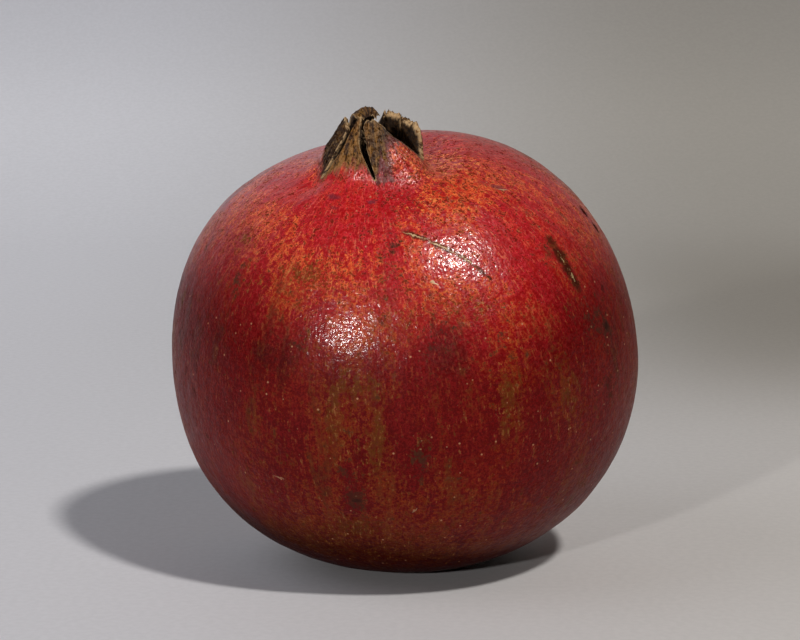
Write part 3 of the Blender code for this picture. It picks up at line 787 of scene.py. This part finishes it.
# Finishes
class Finish:
    """A node material with a Principled shader and short calls for its fields."""

    def __init__(self, name):
        self.material = bpy.data.materials.new(name)
        self.material.use_nodes = True
        self.tree = self.material.node_tree
        self.shader = self.tree.nodes["Principled BSDF"]
        self.place = self.node("ShaderNodeTexCoord").outputs["Object"]

    def node(self, kind, inputs=None, **settings):
        return node(self.tree, kind, inputs, **settings)

    def field(self, name):
        return self.node("ShaderNodeAttribute", attribute_name=name).outputs["Fac"]

    def way(self, name):
        return self.node("ShaderNodeAttribute", attribute_name=name).outputs["Vector"]

    def math(self, operation, a, b=None, clamp=False):
        return gmath(self.tree, operation, a, b, clamp)

    def cloud(self, where, size, detail=2.0, rough=0.5, warp=0.0, seed=0.0):
        return self.node("ShaderNodeTexNoise",
                         {"Vector": where, "W": seed, "Scale": 1 / size, "Detail": detail,
                          "Roughness": rough, "Distortion": warp},
                         noise_dimensions="4D").outputs["Fac"]

    def cells(self, where, size):
        return self.node("ShaderNodeTexVoronoi",
                         {"Vector": where, "Scale": 1 / size, "Randomness": 1.0}, feature="F1")

    def step(self, value, low, high):
        return self.node("ShaderNodeMapRange",
                         {"Value": value, "From Min": low, "From Max": high},
                         interpolation_type="SMOOTHSTEP").outputs["Result"]

    def blend(self, share, under, over, kind="MIX"):
        made = self.node("ShaderNodeMix", {"Factor": share}, data_type="RGBA", blend_type=kind)
        ends = [socket for socket in made.inputs if socket.type == "RGBA"]
        for value, socket in zip((under, over), ends):
            feed(self.tree, (*value, 1) if isinstance(value, tuple) else value, socket)
        return [socket for socket in made.outputs if socket.type == "RGBA"][0]

    def bump(self, height, depth, strength=1.0):
        return self.node("ShaderNodeBump", {"Strength": strength, "Distance": depth,
                                            "Height": height}).outputs[0]

    def lot(self, *parts):
        """Sum of weighted fields; each noise is counted from its middle."""
        total = None
        for value, weight, middle in parts:
            part = self.math("MULTIPLY", self.math("SUBTRACT", value, middle), weight)
            total = part if total is None else self.math("ADD", total, part)
        return total

    def painted(self, name, unseen, size, seed, low, high):
        """A painted field that carries on over the unseen side as soft noise."""
        more = self.step(self.cloud(self.place, size, 3, 0.6, 0.5, seed), low, high)
        return self.math("ADD", self.field(name), self.math("MULTIPLY", more, unseen))

    def marks(self, where, spots, soft):
        """Ellipses on the skin, each centred and turned to its place."""
        total = None
        for lon, lat, tilt, long, wide_half, strength in spots:
            place, turn = local_frame(lon, lat, tilt)
            half_axes = (wide_half / 1000, long / 1000, MARK_DEEP)
            move = self.node("ShaderNodeMapping",
                             {"Vector": where, "Location": place, "Rotation": turn,
                              "Scale": half_axes}, vector_type="TEXTURE")
            far = gvector(self.tree, "LENGTH", move.outputs[0])
            inside = self.math("MULTIPLY", self.step(far, 1.0, soft), strength)
            total = inside if total is None else self.math("MAXIMUM", total, inside)
        return total

    def set(self, **values):
        for key, value in values.items():
            feed(self.tree, value, self.shader.inputs[key.replace("_", " ")])


# Colours of the rind, from the ground colour to its marks
CRIMSON_GROUND = (0.54, 0.010, 0.018)
SCARLET_GROUND = (0.66, 0.028, 0.018)
ORANGE_BLUSH = (0.78, 0.092, 0.022)
GOLD_BLUSH = (0.87, 0.175, 0.040)
MAROON_CLOUD = (0.24, 0.010, 0.018)
OLIVE_CLOUD = (0.46, 0.180, 0.036)
DOT_BROWN = (0.140, 0.007, 0.004)
THREAD_PINK = (0.88, 0.200, 0.090)
GRAIN_DARK = (0.70, 0.16, 0.19)
GRAIN_LIGHT = (1.20, 1.75, 1.60)
# Darker lower skin, partly painted shade
LOWER_SHADE = (0.255, 0.20, 0.125)
# Painted shade on the underside
UNDER_SHADE = (0.24, 0.30, 0.25)
RUSSET = (0.135, 0.0290, 0.0055)
FLECK_GOLD = (0.31, 0.135, 0.040)
PORE_TAN = (0.62, 0.33, 0.17)
STAIN_BROWN = (0.060, 0.018, 0.011)
DASH_BLUE = (0.075, 0.020, 0.036)
BLACK_MARK = (0.022, 0.010, 0.008)
LESION_BROWNS = ((0.026, 0.011, 0.006), (0.110, 0.042, 0.014))
SCAR_BROWNS = ((0.045, 0.018, 0.008), (0.22, 0.095, 0.030))
CRACK_STRAW = (0.46, 0.34, 0.16)
RIDGE_STRAW = (0.72, 0.50, 0.270)
SCRATCH_TAN = (0.66, 0.42, 0.22)
# Colours of the dry husk
HUSK_DARK = (0.056, 0.022, 0.008)
HUSK_BROWN = (0.300, 0.135, 0.034)
HUSK_OCHRE = (0.30, 0.150, 0.030)
FIBRE_BLACK = (0.020, 0.010, 0.006)
FIBRE_PALE = (0.50, 0.290, 0.115)
# Inside of the sepals and the cup: darker husk, partly painted shade in the hollow
CUP_DARK_AND_SHADE = (0.016, 0.009, 0.006)
CUP_BROWN = (0.110, 0.058, 0.028)
# Pale torn rim, partly painted highlight on the sepal edges
RIM_CREAM_AND_HIGHLIGHT = (0.60, 0.390, 0.195)
DUSK_PURPLE = (0.125, 0.033, 0.036)
# Colours of the filaments, the stem end and the cloth of the sweep
FILAMENT_BROWNS = ((0.060, 0.030, 0.014), (0.30, 0.19, 0.085))
FILAMENT_SPOT = (0.035, 0.018, 0.010)
BARK_BROWNS = ((0.11, 0.070, 0.040), (0.30, 0.215, 0.130))
BARK_FISSURE = (0.045, 0.028, 0.016)
# The cloth colours paint light and shade on the sweep
CLOTH_LEFT_LIT = (0.71, 0.71, 0.75)
CLOTH_RIGHT_SHADE = (0.67, 0.64, 0.61)
CLOTH_FAR_SHADE = (0.63, 0.62, 0.585)
CLOTH_SHADE_BAND = (0.80, 0.785, 0.765)
CLOTH_WALL_SHADE = (0.79, 0.79, 0.80)
CLOTH_THREAD = (1.05, 1.05, 1.05)
# Gaps between pores, uneven edge and depth of the marks, depth of the bump
PORE_GAP = 0.0021
MARK_SHAKE = 0.0014
MARK_DEEP = 0.004
SKIN_BUMP = 0.00030
# Gloss of the skin
SKIN_ROUGHNESS = 0.38
SKIN_SHEEN = 0.44
SKIN_COAT = 0.65
COAT_ROUGHNESS = 0.145
SKIN_IOR = 1.46


class Rind(Finish):
    """Noises and painted fields that the finish of the rind is mixed from."""

    def __init__(self, name):
        super().__init__(name)
        at = self.place
        self.grain, self.fibre = self.way("grain"), self.way("fibre")
        self.unseen, self.lower, self.under = (self.field(key)
                                               for key in ("unseen", "lower", "under"))
        self.wide = self.cloud(at, 0.016, 3, 0.55, 0.3, 1.0)
        self.blot = self.cloud(self.grain, 0.0046, 3, 0.60, 0.5, 2.0)
        self.mott = self.cloud(at, 0.0020, 4, 0.68, 0.3, 3.0)
        self.curd = self.cloud(at, 0.0009, 3, 0.70, 0.2, 4.0)
        self.speck = self.cloud(at, 0.00052, 2, 0.60, 0.0, 5.0)
        self.streak = self.cloud(self.grain, 0.0011, 3, 0.65, 0.3, 6.0)
        self.thread = self.cloud(self.grain, 0.00042, 2, 0.60, 0.2, 7.0)
        self.orange = self.painted("orange", self.unseen, 0.022, 11.0, 0.50, 0.62)
        self.crimson = self.field("crimson")
        self.maroon = self.painted("maroon", self.unseen, 0.020, 12.0, 0.50, 0.64)
        self.olive = self.painted("olive", self.unseen, 0.012, 13.0, 0.52, 0.64)


def blushed_skin(f):
    """Mottled ground colour of the rind; also gives its dark dots."""
    m = f.math
    share = f.lot((f.blot, 0.6, 0.5), (f.wide, 0.5, 0.5), (f.mott, 0.5, 0.5))
    red = f.blend(f.step(share, -0.06, 0.07), CRIMSON_GROUND, SCARLET_GROUND)
    share = f.lot((f.orange, 0.44, 0.0), (f.crimson, -0.44, 0.0), (f.mott, 1.0, 0.5),
                  (f.curd, 1.1, 0.5), (f.blot, 0.9, 0.5), (f.lower, -0.07, 0.0))
    red = f.blend(f.step(share, 0.00, 0.20), red, ORANGE_BLUSH)
    share = f.lot((f.orange, 0.42, 0.0), (f.curd, 1.3, 0.5), (f.streak, 0.9, 0.5))
    red = f.blend(f.step(share, 0.36, 0.52), red, GOLD_BLUSH)
    share = f.lot((f.maroon, 0.46, 0.0), (f.blot, 1.2, 0.5), (f.mott, 0.7, 0.5),
                  (f.curd, 0.6, 0.5))
    red = f.blend(m("MULTIPLY", f.step(share, 0.10, 0.40), 0.75), red, MAROON_CLOUD)
    share = f.lot((f.olive, 0.50, 0.0), (f.mott, 0.9, 0.5), (f.streak, 0.8, 0.5),
                  (f.curd, 0.6, 0.5))
    red = f.blend(m("MULTIPLY", f.step(share, 0.26, 0.44), 0.75), red, OLIVE_CLOUD)
    share = f.lot((f.speck, 1.7, 0.5), (f.mott, 0.7, 0.5), (f.orange, 0.10, 0.0),
                  (f.olive, 0.18, 0.0), (f.lower, -0.04, 0.0))
    dots = m("MULTIPLY", f.step(share, 0.12, 0.21),
             m("SUBTRACT", 1.0, m("MULTIPLY", f.lower, 0.5)))
    red = f.blend(m("MULTIPLY", dots, 0.90), red, DOT_BROWN)
    share = f.lot((f.thread, 1.5, 0.5), (f.streak, 0.6, 0.5))
    red = f.blend(m("MULTIPLY", f.step(share, 0.12, 0.24), 0.30), red, THREAD_PINK)
    share = f.lot((f.speck, 1.2, 0.5), (f.curd, 0.7, 0.5), (f.thread, 0.35, 0.5))
    red = f.blend(f.step(share, -0.13, 0.13), f.blend(1.0, red, GRAIN_DARK, "MULTIPLY"),
                  f.blend(1.0, red, GRAIN_LIGHT, "MULTIPLY"))
    return red, dots


def shaded_skin(f, red):
    """Darker lower half, partly painted shade, and painted shade underneath; russet bands, gold
    flecks and pale pores.
    """
    m = f.math
    # Partly the skin's darker lower colour, partly painted shade
    red = f.blend(f.lower, red, LOWER_SHADE, "MULTIPLY")
    # Painted shade on the underside
    red = f.blend(f.under, red, UNDER_SHADE, "MULTIPLY")
    share = f.lot((f.orange, 0.30, 0.0), (f.olive, 0.34, 0.0), (f.crimson, -0.3, 0.0),
                  (f.blot, 1.5, 0.5), (f.streak, 1.7, 0.5), (f.mott, 0.9, 0.5),
                  (f.curd, 1.2, 0.5))
    russet = m("MULTIPLY", f.step(share, 0.08, 0.50),
               m("SUBTRACT", f.lower, m("MULTIPLY", f.under, 0.8)))
    red = f.blend(m("MULTIPLY", russet, 0.50), red, RUSSET)
    share = f.lot((f.thread, 1.2, 0.5), (f.curd, 1.0, 0.5), (f.olive, 0.14, 0.0),
                  (f.orange, 0.06, 0.0))
    flecks = m("MULTIPLY", f.step(share, 0.26, 0.36), f.lower)
    red = f.blend(m("MULTIPLY", flecks, 0.46), red, FLECK_GOLD)
    pores = f.cells(f.place, PORE_GAP)
    dot = m("MULTIPLY", f.step(pores.outputs["Distance"], 0.13, 0.07),
            f.step(pores.outputs["Color"], 0.60, 0.70))
    return f.blend(m("MULTIPLY", dot, 0.55), red, PORE_TAN)


def ragged_place(f):
    """Place on the skin, shaken a little so that the marks have uneven edges."""
    jitter = f.node("ShaderNodeTexNoise", {"Vector": f.place, "Scale": 1100.0, "Detail": 2.0})
    shake = gvector(f.tree, "SUBTRACT", jitter.outputs["Color"], (0.5, 0.5, 0.5))
    return gvector(f.tree, "ADD", f.place, gvector(f.tree, "SCALE", shake, scale=MARK_SHAKE))


def marked_skin(f, red):
    """Stains, scar, cracked patch and scratches; also gives the ones that dull the skin."""
    m = f.math
    ragged = ragged_place(f)
    share = f.lot((f.field("stain"), 0.60, 0.0), (f.mott, 1.3, 0.5), (f.curd, 1.3, 0.5))
    stains = m("MULTIPLY", f.step(share, 0.18, 0.42), 0.80)
    red = f.blend(stains, red, STAIN_BROWN)
    red = f.blend(m("MULTIPLY", f.marks(ragged, BLUISH, 0.3), 0.75), red, DASH_BLUE)
    share = f.lot((f.marks(ragged, LESION, 0.05), 1.0, 0.0), (f.curd, 1.0, 0.5),
                  (f.speck, 0.9, 0.5), (f.mott, 0.5, 0.5))
    lesion = f.step(share, 0.08, 0.80)
    red = f.blend(m("MULTIPLY", lesion, 0.88), red,
                  f.blend(f.step(f.curd, 0.50, 0.68), *LESION_BROWNS))
    black = f.marks(ragged, BLACK, 0.4)
    red = f.blend(m("MULTIPLY", black, 0.90), red, BLACK_MARK)
    crack = m("MULTIPLY", f.marks(ragged, CRACK, 0.5), f.step(f.speck, 0.46, 0.54))
    red = f.blend(crack, red, CRACK_STRAW)
    scar = f.marks(ragged, SCAR, 0.45)
    red = f.blend(m("MULTIPLY", scar, 0.85), red,
                  f.blend(f.step(f.speck, 0.46, 0.66), *SCAR_BROWNS))
    ridge = m("MULTIPLY", f.marks(ragged, RIDGE, 0.5), f.step(f.curd, 0.38, 0.46))
    red = f.blend(ridge, red, RIDGE_STRAW)
    scratch = f.marks(ragged, SCRATCH, 0.5)
    red = f.blend(scratch, red, SCRATCH_TAN)
    return red, {"stains": stains, "lesion": lesion, "black": black, "scar": scar,
                 "ridge": ridge, "scratch": scratch}


def dry_husk(f):
    """Brown fibrous husk of the sepals, partly painted shade inside and highlight on the rim;
    also gives the noises that its relief repeats.
    """
    m = f.math
    inside, rim, light = (f.field(key) for key in ("inside", "rim", "husk_light"))
    lines = f.cloud(f.fibre, 0.0011, 4, 0.65, 0.5, 21.0)
    hairs = f.cloud(f.fibre, 0.0004, 3, 0.65, 0.3, 22.0)
    dirt = f.cloud(f.place, 0.0016, 4, 0.68, 0.4, 23.0)
    share = f.lot((lines, 1.0, 0.5), (dirt, 0.8, 0.5), (light, 0.35, 0.8))
    husk = f.blend(f.step(share, -0.10, 0.14), HUSK_DARK, HUSK_BROWN)
    share = f.lot((dirt, 1.0, 0.5), (f.curd, 0.6, 0.5))
    husk = f.blend(m("MULTIPLY", f.step(share, 0.06, 0.20), 0.6), husk, HUSK_OCHRE)
    share = f.lot((hairs, 1.0, 0.5), (f.speck, 0.8, 0.5))
    husk = f.blend(m("MULTIPLY", f.step(share, 0.05, 0.13), 0.85), husk, FIBRE_BLACK)
    husk = f.blend(m("MULTIPLY", f.step(share, -0.08, -0.16), 0.5), husk, FIBRE_PALE)
    shade = f.node("ShaderNodeCombineColor", {0: light, 1: light, 2: light})
    husk = f.blend(1.0, husk, shade.outputs[0], "MULTIPLY")
    # Inner faces and cup: darker inner husk, partly painted shade, near black
    husk = f.blend(m("MULTIPLY", inside, 0.90), husk,
                   f.blend(f.step(f.speck, 0.48, 0.60), CUP_DARK_AND_SHADE, CUP_BROWN))
    # Pale torn rim, partly painted highlight along the sepal edges
    share = f.lot((f.curd, 1.0, 0.5), (dirt, 0.6, 0.5))
    husk = f.blend(m("MULTIPLY", rim, f.step(share, -0.12, 0.04)), husk, RIM_CREAM_AND_HIGHLIGHT)
    return husk, lines, hairs, dirt


def skin_relief(f, turn, skin_height, husk_height):
    """Fine grain of the skin or of the husk as one bump, deeper where the skin is pitted."""
    m = f.math
    both = f.node("ShaderNodeMix", {"Factor": turn, "A": skin_height, "B": husk_height},
                  data_type="FLOAT")
    pits = m("ADD", 1.0, m("MULTIPLY", f.field("pitted"), 2.4))
    return f.bump(m("MULTIPLY", both.outputs["Result"], pits), SKIN_BUMP, 1.0)


def skin_shine(f, turn, dots, found):
    """Roughness, sheen and waxy coat, all duller on dots, stains and scars."""
    m = f.math
    gloss = f.lot((f.mott, 0.35, 0.5), (dots, 0.10, 0.0), (found["stains"], 0.15, 0.0),
                  (f.lower, 0.06, 0.0), (turn, 0.36, 0.0), (found["lesion"], 0.20, 0.0))
    gloss = m("ADD", gloss, SKIN_ROUGHNESS)
    shine = m("SUBTRACT", SKIN_SHEEN, m("MULTIPLY", f.lower, 0.32))
    shine = m("ADD", shine, m("MULTIPLY", f.field("pitted"), 0.85))
    shine = m("SUBTRACT", shine, m("MULTIPLY", f.under, 0.10))
    dull = m("MAXIMUM", m("MULTIPLY", dots, 0.92), m("MAXIMUM", found["lesion"], found["black"]))
    dull = m("MAXIMUM", dull, m("MAXIMUM", m("MULTIPLY", found["scar"], 0.7),
                                m("MULTIPLY", found["stains"], 0.6)))
    bright = m("SUBTRACT", 1.0, dull)
    shine = m("MULTIPLY", shine, bright)
    waxy = f.lot((f.lower, -0.62, 0.0), (f.field("gleam"), 0.62, 0.0), (f.under, -0.08, 0.0))
    coat = m("MULTIPLY", m("SUBTRACT", 1.0, turn), m("ADD", SKIN_COAT, waxy, clamp=True))
    coat = m("MULTIPLY", coat, bright)
    f.set(Roughness=gloss, Specular_IOR_Level=shine, Coat_Weight=coat,
          Coat_Roughness=COAT_ROUGHNESS, IOR=SKIN_IOR)


def skin_finish():
    """Red leathery skin that turns into dry husk up the sepals."""
    f = Rind("pomegranate_rind")
    m = f.math
    red, dots = blushed_skin(f)
    red = shaded_skin(f, red)
    red, found = marked_skin(f, red)
    husk, lines, hairs, dirt = dry_husk(f)
    edge = m("ADD", f.field("dry"), f.lot((lines, 1.3, 0.5), (f.mott, 1.0, 0.5)))
    turn = f.step(edge, 0.25, 0.75)
    colour = f.blend(turn, red, husk)
    between = m("MULTIPLY", m("MULTIPLY", turn, m("SUBTRACT", 1.0, turn)), 3.0, clamp=True)
    colour = f.blend(m("MULTIPLY", between, f.field("dusk")), colour, DUSK_PURPLE)
    grainy = f.cloud(f.place, 0.0008, 1, 0.6, 0.1, 31.0)
    peel = f.cloud(f.place, 0.0030, 2, 0.5, 0.2, 32.0)
    skin_height = f.lot((grainy, 0.40, 0.5), (peel, 1.0, 0.5), (f.streak, 0.20, 0.5),
                        (f.thread, 0.04, 0.5), (dots, -0.06, 0.0), (found["ridge"], 0.14, 0.0),
                        (found["scar"], -0.05, 0.0), (found["scratch"], 0.06, 0.0),
                        (found["lesion"], -0.10, 0.0))
    husk_height = f.lot((lines, 1.6, 0.5), (hairs, 0.8, 0.5), (dirt, 1.2, 0.5),
                        (f.curd, 0.8, 0.5))
    normal = skin_relief(f, turn, skin_height, husk_height)
    f.set(Base_Color=colour, Normal=normal, Coat_Normal=normal)
    skin_shine(f, turn, dots, found)
    return f.material


def stamen_finish():
    """Dull brown of the dry filaments, spotted darker."""
    f = Finish("dry_stamen")
    light = f.step(f.cloud(f.place, 0.0011, 3, 0.6, 0.2, 2.0), 0.42, 0.66)
    base = f.blend(light, *FILAMENT_BROWNS)
    spot = f.step(f.cloud(f.place, 0.0004, 2, 0.6, 0.0, 5.0), 0.52, 0.70)
    base = f.blend(spot, base, FILAMENT_SPOT)
    normal = f.bump(f.cloud(f.place, 0.0003, 2, 0.6, 0.0, 7.0), 0.00008, 0.8)
    f.set(Base_Color=base, Normal=normal, Roughness=0.75)
    return f.material


def stem_finish():
    """Grey-brown bark with dark fissures."""
    f = Finish("stem_wood")
    bark = f.cloud(f.place, 0.0012, 4, 0.65, 0.6, 3.0)
    base = f.blend(f.step(bark, 0.40, 0.62), *BARK_BROWNS)
    dark = f.step(f.cloud(f.place, 0.0006, 3, 0.6, 0.2, 8.0), 0.58, 0.70)
    base = f.blend(dark, base, BARK_FISSURE)
    normal = f.bump(bark, 0.00025, 0.9)
    f.set(Base_Color=base, Normal=normal, Roughness=0.8)
    return f.material


def sweep_finish():
    """Pale cloth with painted shade: a little darker and warmer at the right and far behind, in a
    band and on the wall.
    """
    f = Finish("pale_sweep")
    m = f.math
    cloth = f.cloud(f.place, 0.0016, 2, 0.5, 0.0, 3.0)
    split = f.node("ShaderNodeSeparateXYZ", {0: f.place})
    x, y = split.outputs[0], split.outputs[1]
    # Painted light and shade: cool and lighter at the left, warm and darker at the right
    base = f.blend(f.step(x, -0.12, 0.14), CLOTH_LEFT_LIT, CLOTH_RIGHT_SHADE)
    # Painted shade far behind at the right
    far = m("MULTIPLY", f.step(x, -0.14, 0.14), f.step(y, 0.08, 0.30))
    base = f.blend(far, base, CLOTH_FAR_SHADE, "MULTIPLY")
    # Painted shadow: a darker band on the floor at the right
    fold = m("MULTIPLY", m("MULTIPLY", f.step(x, 0.04, 0.11), f.step(y, 0.12, 0.24)),
             f.step(y, 0.50, 0.34))
    base = f.blend(fold, base, CLOTH_SHADE_BAND, "MULTIPLY")
    # Painted shade: the wall darker
    base = f.blend(f.step(y, 0.57, 0.70), base, CLOTH_WALL_SHADE, "MULTIPLY")
    base = f.blend(f.step(cloth, 0.3, 0.7), base,
                   f.blend(1.0, base, CLOTH_THREAD, "MULTIPLY"))
    normal = f.bump(cloth, 0.00006, 0.5)
    f.set(Base_Color=base, Normal=normal, Roughness=0.75)
    return f.material


# Small pieces, floor and lights
# Style in the middle of the tuft: heights and radii
STYLE = [(0, 0.00095), (0.0012, 0.0007), (0.0035, 0.00052), (0.0058, 0.0005),
         (0.0068, 0.00075), (0.0074, 0.0008), (0.0078, 0.0004)]
STYLE_SIDES = 12
# Filaments on each square metre of the disc, and how wide the tuft is
STAMEN_DENSITY = 1.7e6
STAMEN_SPREAD = 0.0050
STEM_SIDES = 56


def make_stamens(material):
    """Disc, central style and the scattered filaments, set in the cup."""
    shape = bmesh.new()
    bmesh.ops.create_cone(shape, cap_ends=True, segments=40, radius1=DISC_RADIUS,
                          radius2=DISC_RADIUS - 0.0006, depth=DISC_HEIGHT * 0.6)
    bmesh.ops.translate(shape, verts=shape.verts[:], vec=(0, 0, DISC_HEIGHT * 0.3))
    rings = []
    for height, radius in STYLE:
        ring = [shape.verts.new((radius * math.cos(a) + 0.0003 * math.sin(height * 500),
                                 radius * math.sin(a), height + 0.0005))
                for a in np.linspace(0, 2 * math.pi, STYLE_SIDES + 1)[:-1]]
        rings.append(ring)
    for low, high in zip(rings[:-1], rings[1:]):
        for i in range(STYLE_SIDES):
            after = (i + 1) % STYLE_SIDES
            shape.faces.new((low[i], low[after], high[after], high[i]))
    shape.faces.new(rings[0][::-1])
    shape.faces.new(rings[-1])
    bmesh.ops.recalc_face_normals(shape, faces=shape.faces[:])
    mesh = bpy.data.meshes.new("stamen_tuft")
    shape.to_mesh(mesh)
    shape.free()
    thing = linked("stamen_tuft", mesh)
    applied(thing, stamen_tree(), {"Count density": STAMEN_DENSITY, "Spread": STAMEN_SPREAD,
                                   "Height": STAMEN_TALL, "Seed": 7, "Dry": material})
    base = ORIGIN + UP * (CUP_FLOOR + CLEARANCE) + SHIFT
    turn = Matrix((RIGHT, -NEAR, UP)).transposed().to_4x4()
    thing.data.transform(Matrix.Translation(Vector(base)) @ turn)
    return thing


def make_stem(material):
    """Short woody end: fissured bark, a rounded rim and a sunken ringed cut face."""
    profile = [(0.0, STEM_REST + 0.00022), (0.0007, STEM_REST + 0.00016),
               (0.0010, STEM_REST + 0.00030), (0.0015, STEM_REST + 0.00022),
               (0.0019, STEM_REST + 0.00010), (0.0023, STEM_REST + 0.00001),
               (0.00255, STEM_REST + 0.00012), (0.00268, STEM_REST + 0.00040),
               (0.00262, STEM_REST + 0.00070), (0.00255, 0.00135)]
    inner = []
    for out in (0.0024, 0.0018, 0.0010, 0.0):
        hollow = DIMPLE_DEPTH * (1 - (out / DIMPLE_RADIUS) ** 2) ** 2
        inner.append((out, hollow - CLEARANCE))
    profile = profile + inner
    shape = bmesh.new()
    bmesh.ops.create_grid(shape, x_segments=STEM_SIDES, y_segments=len(profile) - 1, size=1)
    for vert in shape.verts:
        column = round((vert.co.x + 1) / 2 * STEM_SIDES) % STEM_SIDES
        row = round((vert.co.y + 1) / 2 * (len(profile) - 1))
        out, height = profile[row]
        angle = 2 * math.pi * column / STEM_SIDES
        bark = noise.noise(Vector((3 * math.cos(angle), 3 * math.sin(angle), height * 900)))
        share = smooth_step(0.0018, 0.0026, out)
        wide = out * (1 + 0.05 * float(share) * bark)
        vert.co = (wide * math.cos(angle) + SHIFT[0], wide * math.sin(angle),
                   height + 0.00005 * bark * (1 if row < 6 else 0))
    bmesh.ops.remove_doubles(shape, verts=shape.verts[:], dist=1e-6)
    bmesh.ops.recalc_face_normals(shape, faces=shape.faces[:])
    for face in shape.faces:
        face.smooth = True
    mesh = bpy.data.meshes.new("stem_end")
    shape.to_mesh(mesh)
    shape.free()
    mesh.materials.append(material)
    return linked("stem_end", mesh)


def make_sweep(material):
    """Floor that curves up into a backdrop."""
    profile = [(SWEEP_NEAR, 0.0), (-0.6, 0.0), (SWEEP_START, 0.0)]
    for i in range(1, SWEEP_STEPS + 1):
        angle = math.radians(90 * i / SWEEP_STEPS)
        profile.append((SWEEP_START + SWEEP_CURVE * math.sin(angle),
                        SWEEP_CURVE - SWEEP_CURVE * math.cos(angle)))
    profile.append((SWEEP_START + SWEEP_CURVE, SWEEP_TOP))
    points = [(x, y, z) for y, z in profile for x in (-SWEEP_HALF, SWEEP_HALF)]
    faces = [(2 * i, 2 * i + 1, 2 * i + 3, 2 * i + 2) for i in range(len(profile) - 1)]
    mesh = bpy.data.meshes.new("sweep")
    mesh.from_pydata(points, [], faces)
    for face in mesh.polygons:
        face.use_smooth = True
    mesh.materials.append(material)
    linked("sweep", mesh)


def add_light(name, values, aim, spread=180):
    """Round soft light aimed at a point."""
    right, height, far, size, power, colour = values
    way = Vector(facing(right, height))
    light = bpy.data.lights.new(name, "AREA")
    light.shape = "DISK"
    light.size = size
    light.energy = power
    light.color = colour
    light.spread = math.radians(spread)
    thing = bpy.data.objects.new(name, light)
    bpy.context.scene.collection.objects.link(thing)
    thing.location = aim + way * far
    thing.rotation_euler = (-way).to_track_quat("-Z", "Y").to_euler()
    return thing


def stage_scene():
    """Room, sweep, lights and camera."""
    scene = bpy.context.scene
    world = bpy.data.worlds.new("soft_room")
    world.use_nodes = True
    back = world.node_tree.nodes["Background"]
    back.inputs["Color"].default_value = ROOM_COLOUR
    back.inputs["Strength"].default_value = ROOM_STRENGTH
    scene.world = world
    make_sweep(sweep_finish())
    centre = Vector((0, 0, CENTRE_HEIGHT))
    add_light("key", KEY_LIGHT, centre)
    add_light("fill", FILL_LIGHT, centre)
    left = add_light("left", LEFT_LIGHT, centre)
    left.visible_glossy = False
    add_light("wall", WALL_LIGHT, WALL_AIM, WALL_SPREAD)
    camera = bpy.data.cameras.new("camera")
    camera.sensor_width = 36
    camera.lens = CAMERA_LENS
    camera.clip_start = 0.01
    camera.dof.use_dof = False
    eye = bpy.data.objects.new("camera", camera)
    scene.collection.objects.link(eye)
    back_way = Vector((0, -math.cos(CAMERA_TILT), math.sin(CAMERA_TILT)))
    eye.location = AIM + back_way * CAMERA_FAR
    eye.rotation_euler = (math.pi / 2 - CAMERA_TILT, 0, 0)
    scene.camera = eye
    scene.view_settings.view_transform = "Standard"
    scene.view_settings.look = "None"


def main():
    """Stage the scene, then make each piece and put it on its body."""
    stage_scene()
    skin = skin_finish()
    rind = make_rind()
    applied(rind, leather_relief(), {"Dent height": DENT_HEIGHT, "Pit depth": PIT_DEPTH,
                                     "Skin": skin})
    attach(rind, "root")
    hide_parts("rind_with_calyx")
    stamens = make_stamens(stamen_finish())
    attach(stamens, "root")
    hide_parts("dried_stamens")
    stem = make_stem(stem_finish())
    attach(stem, "root")
    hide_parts("stem_stub")


main()
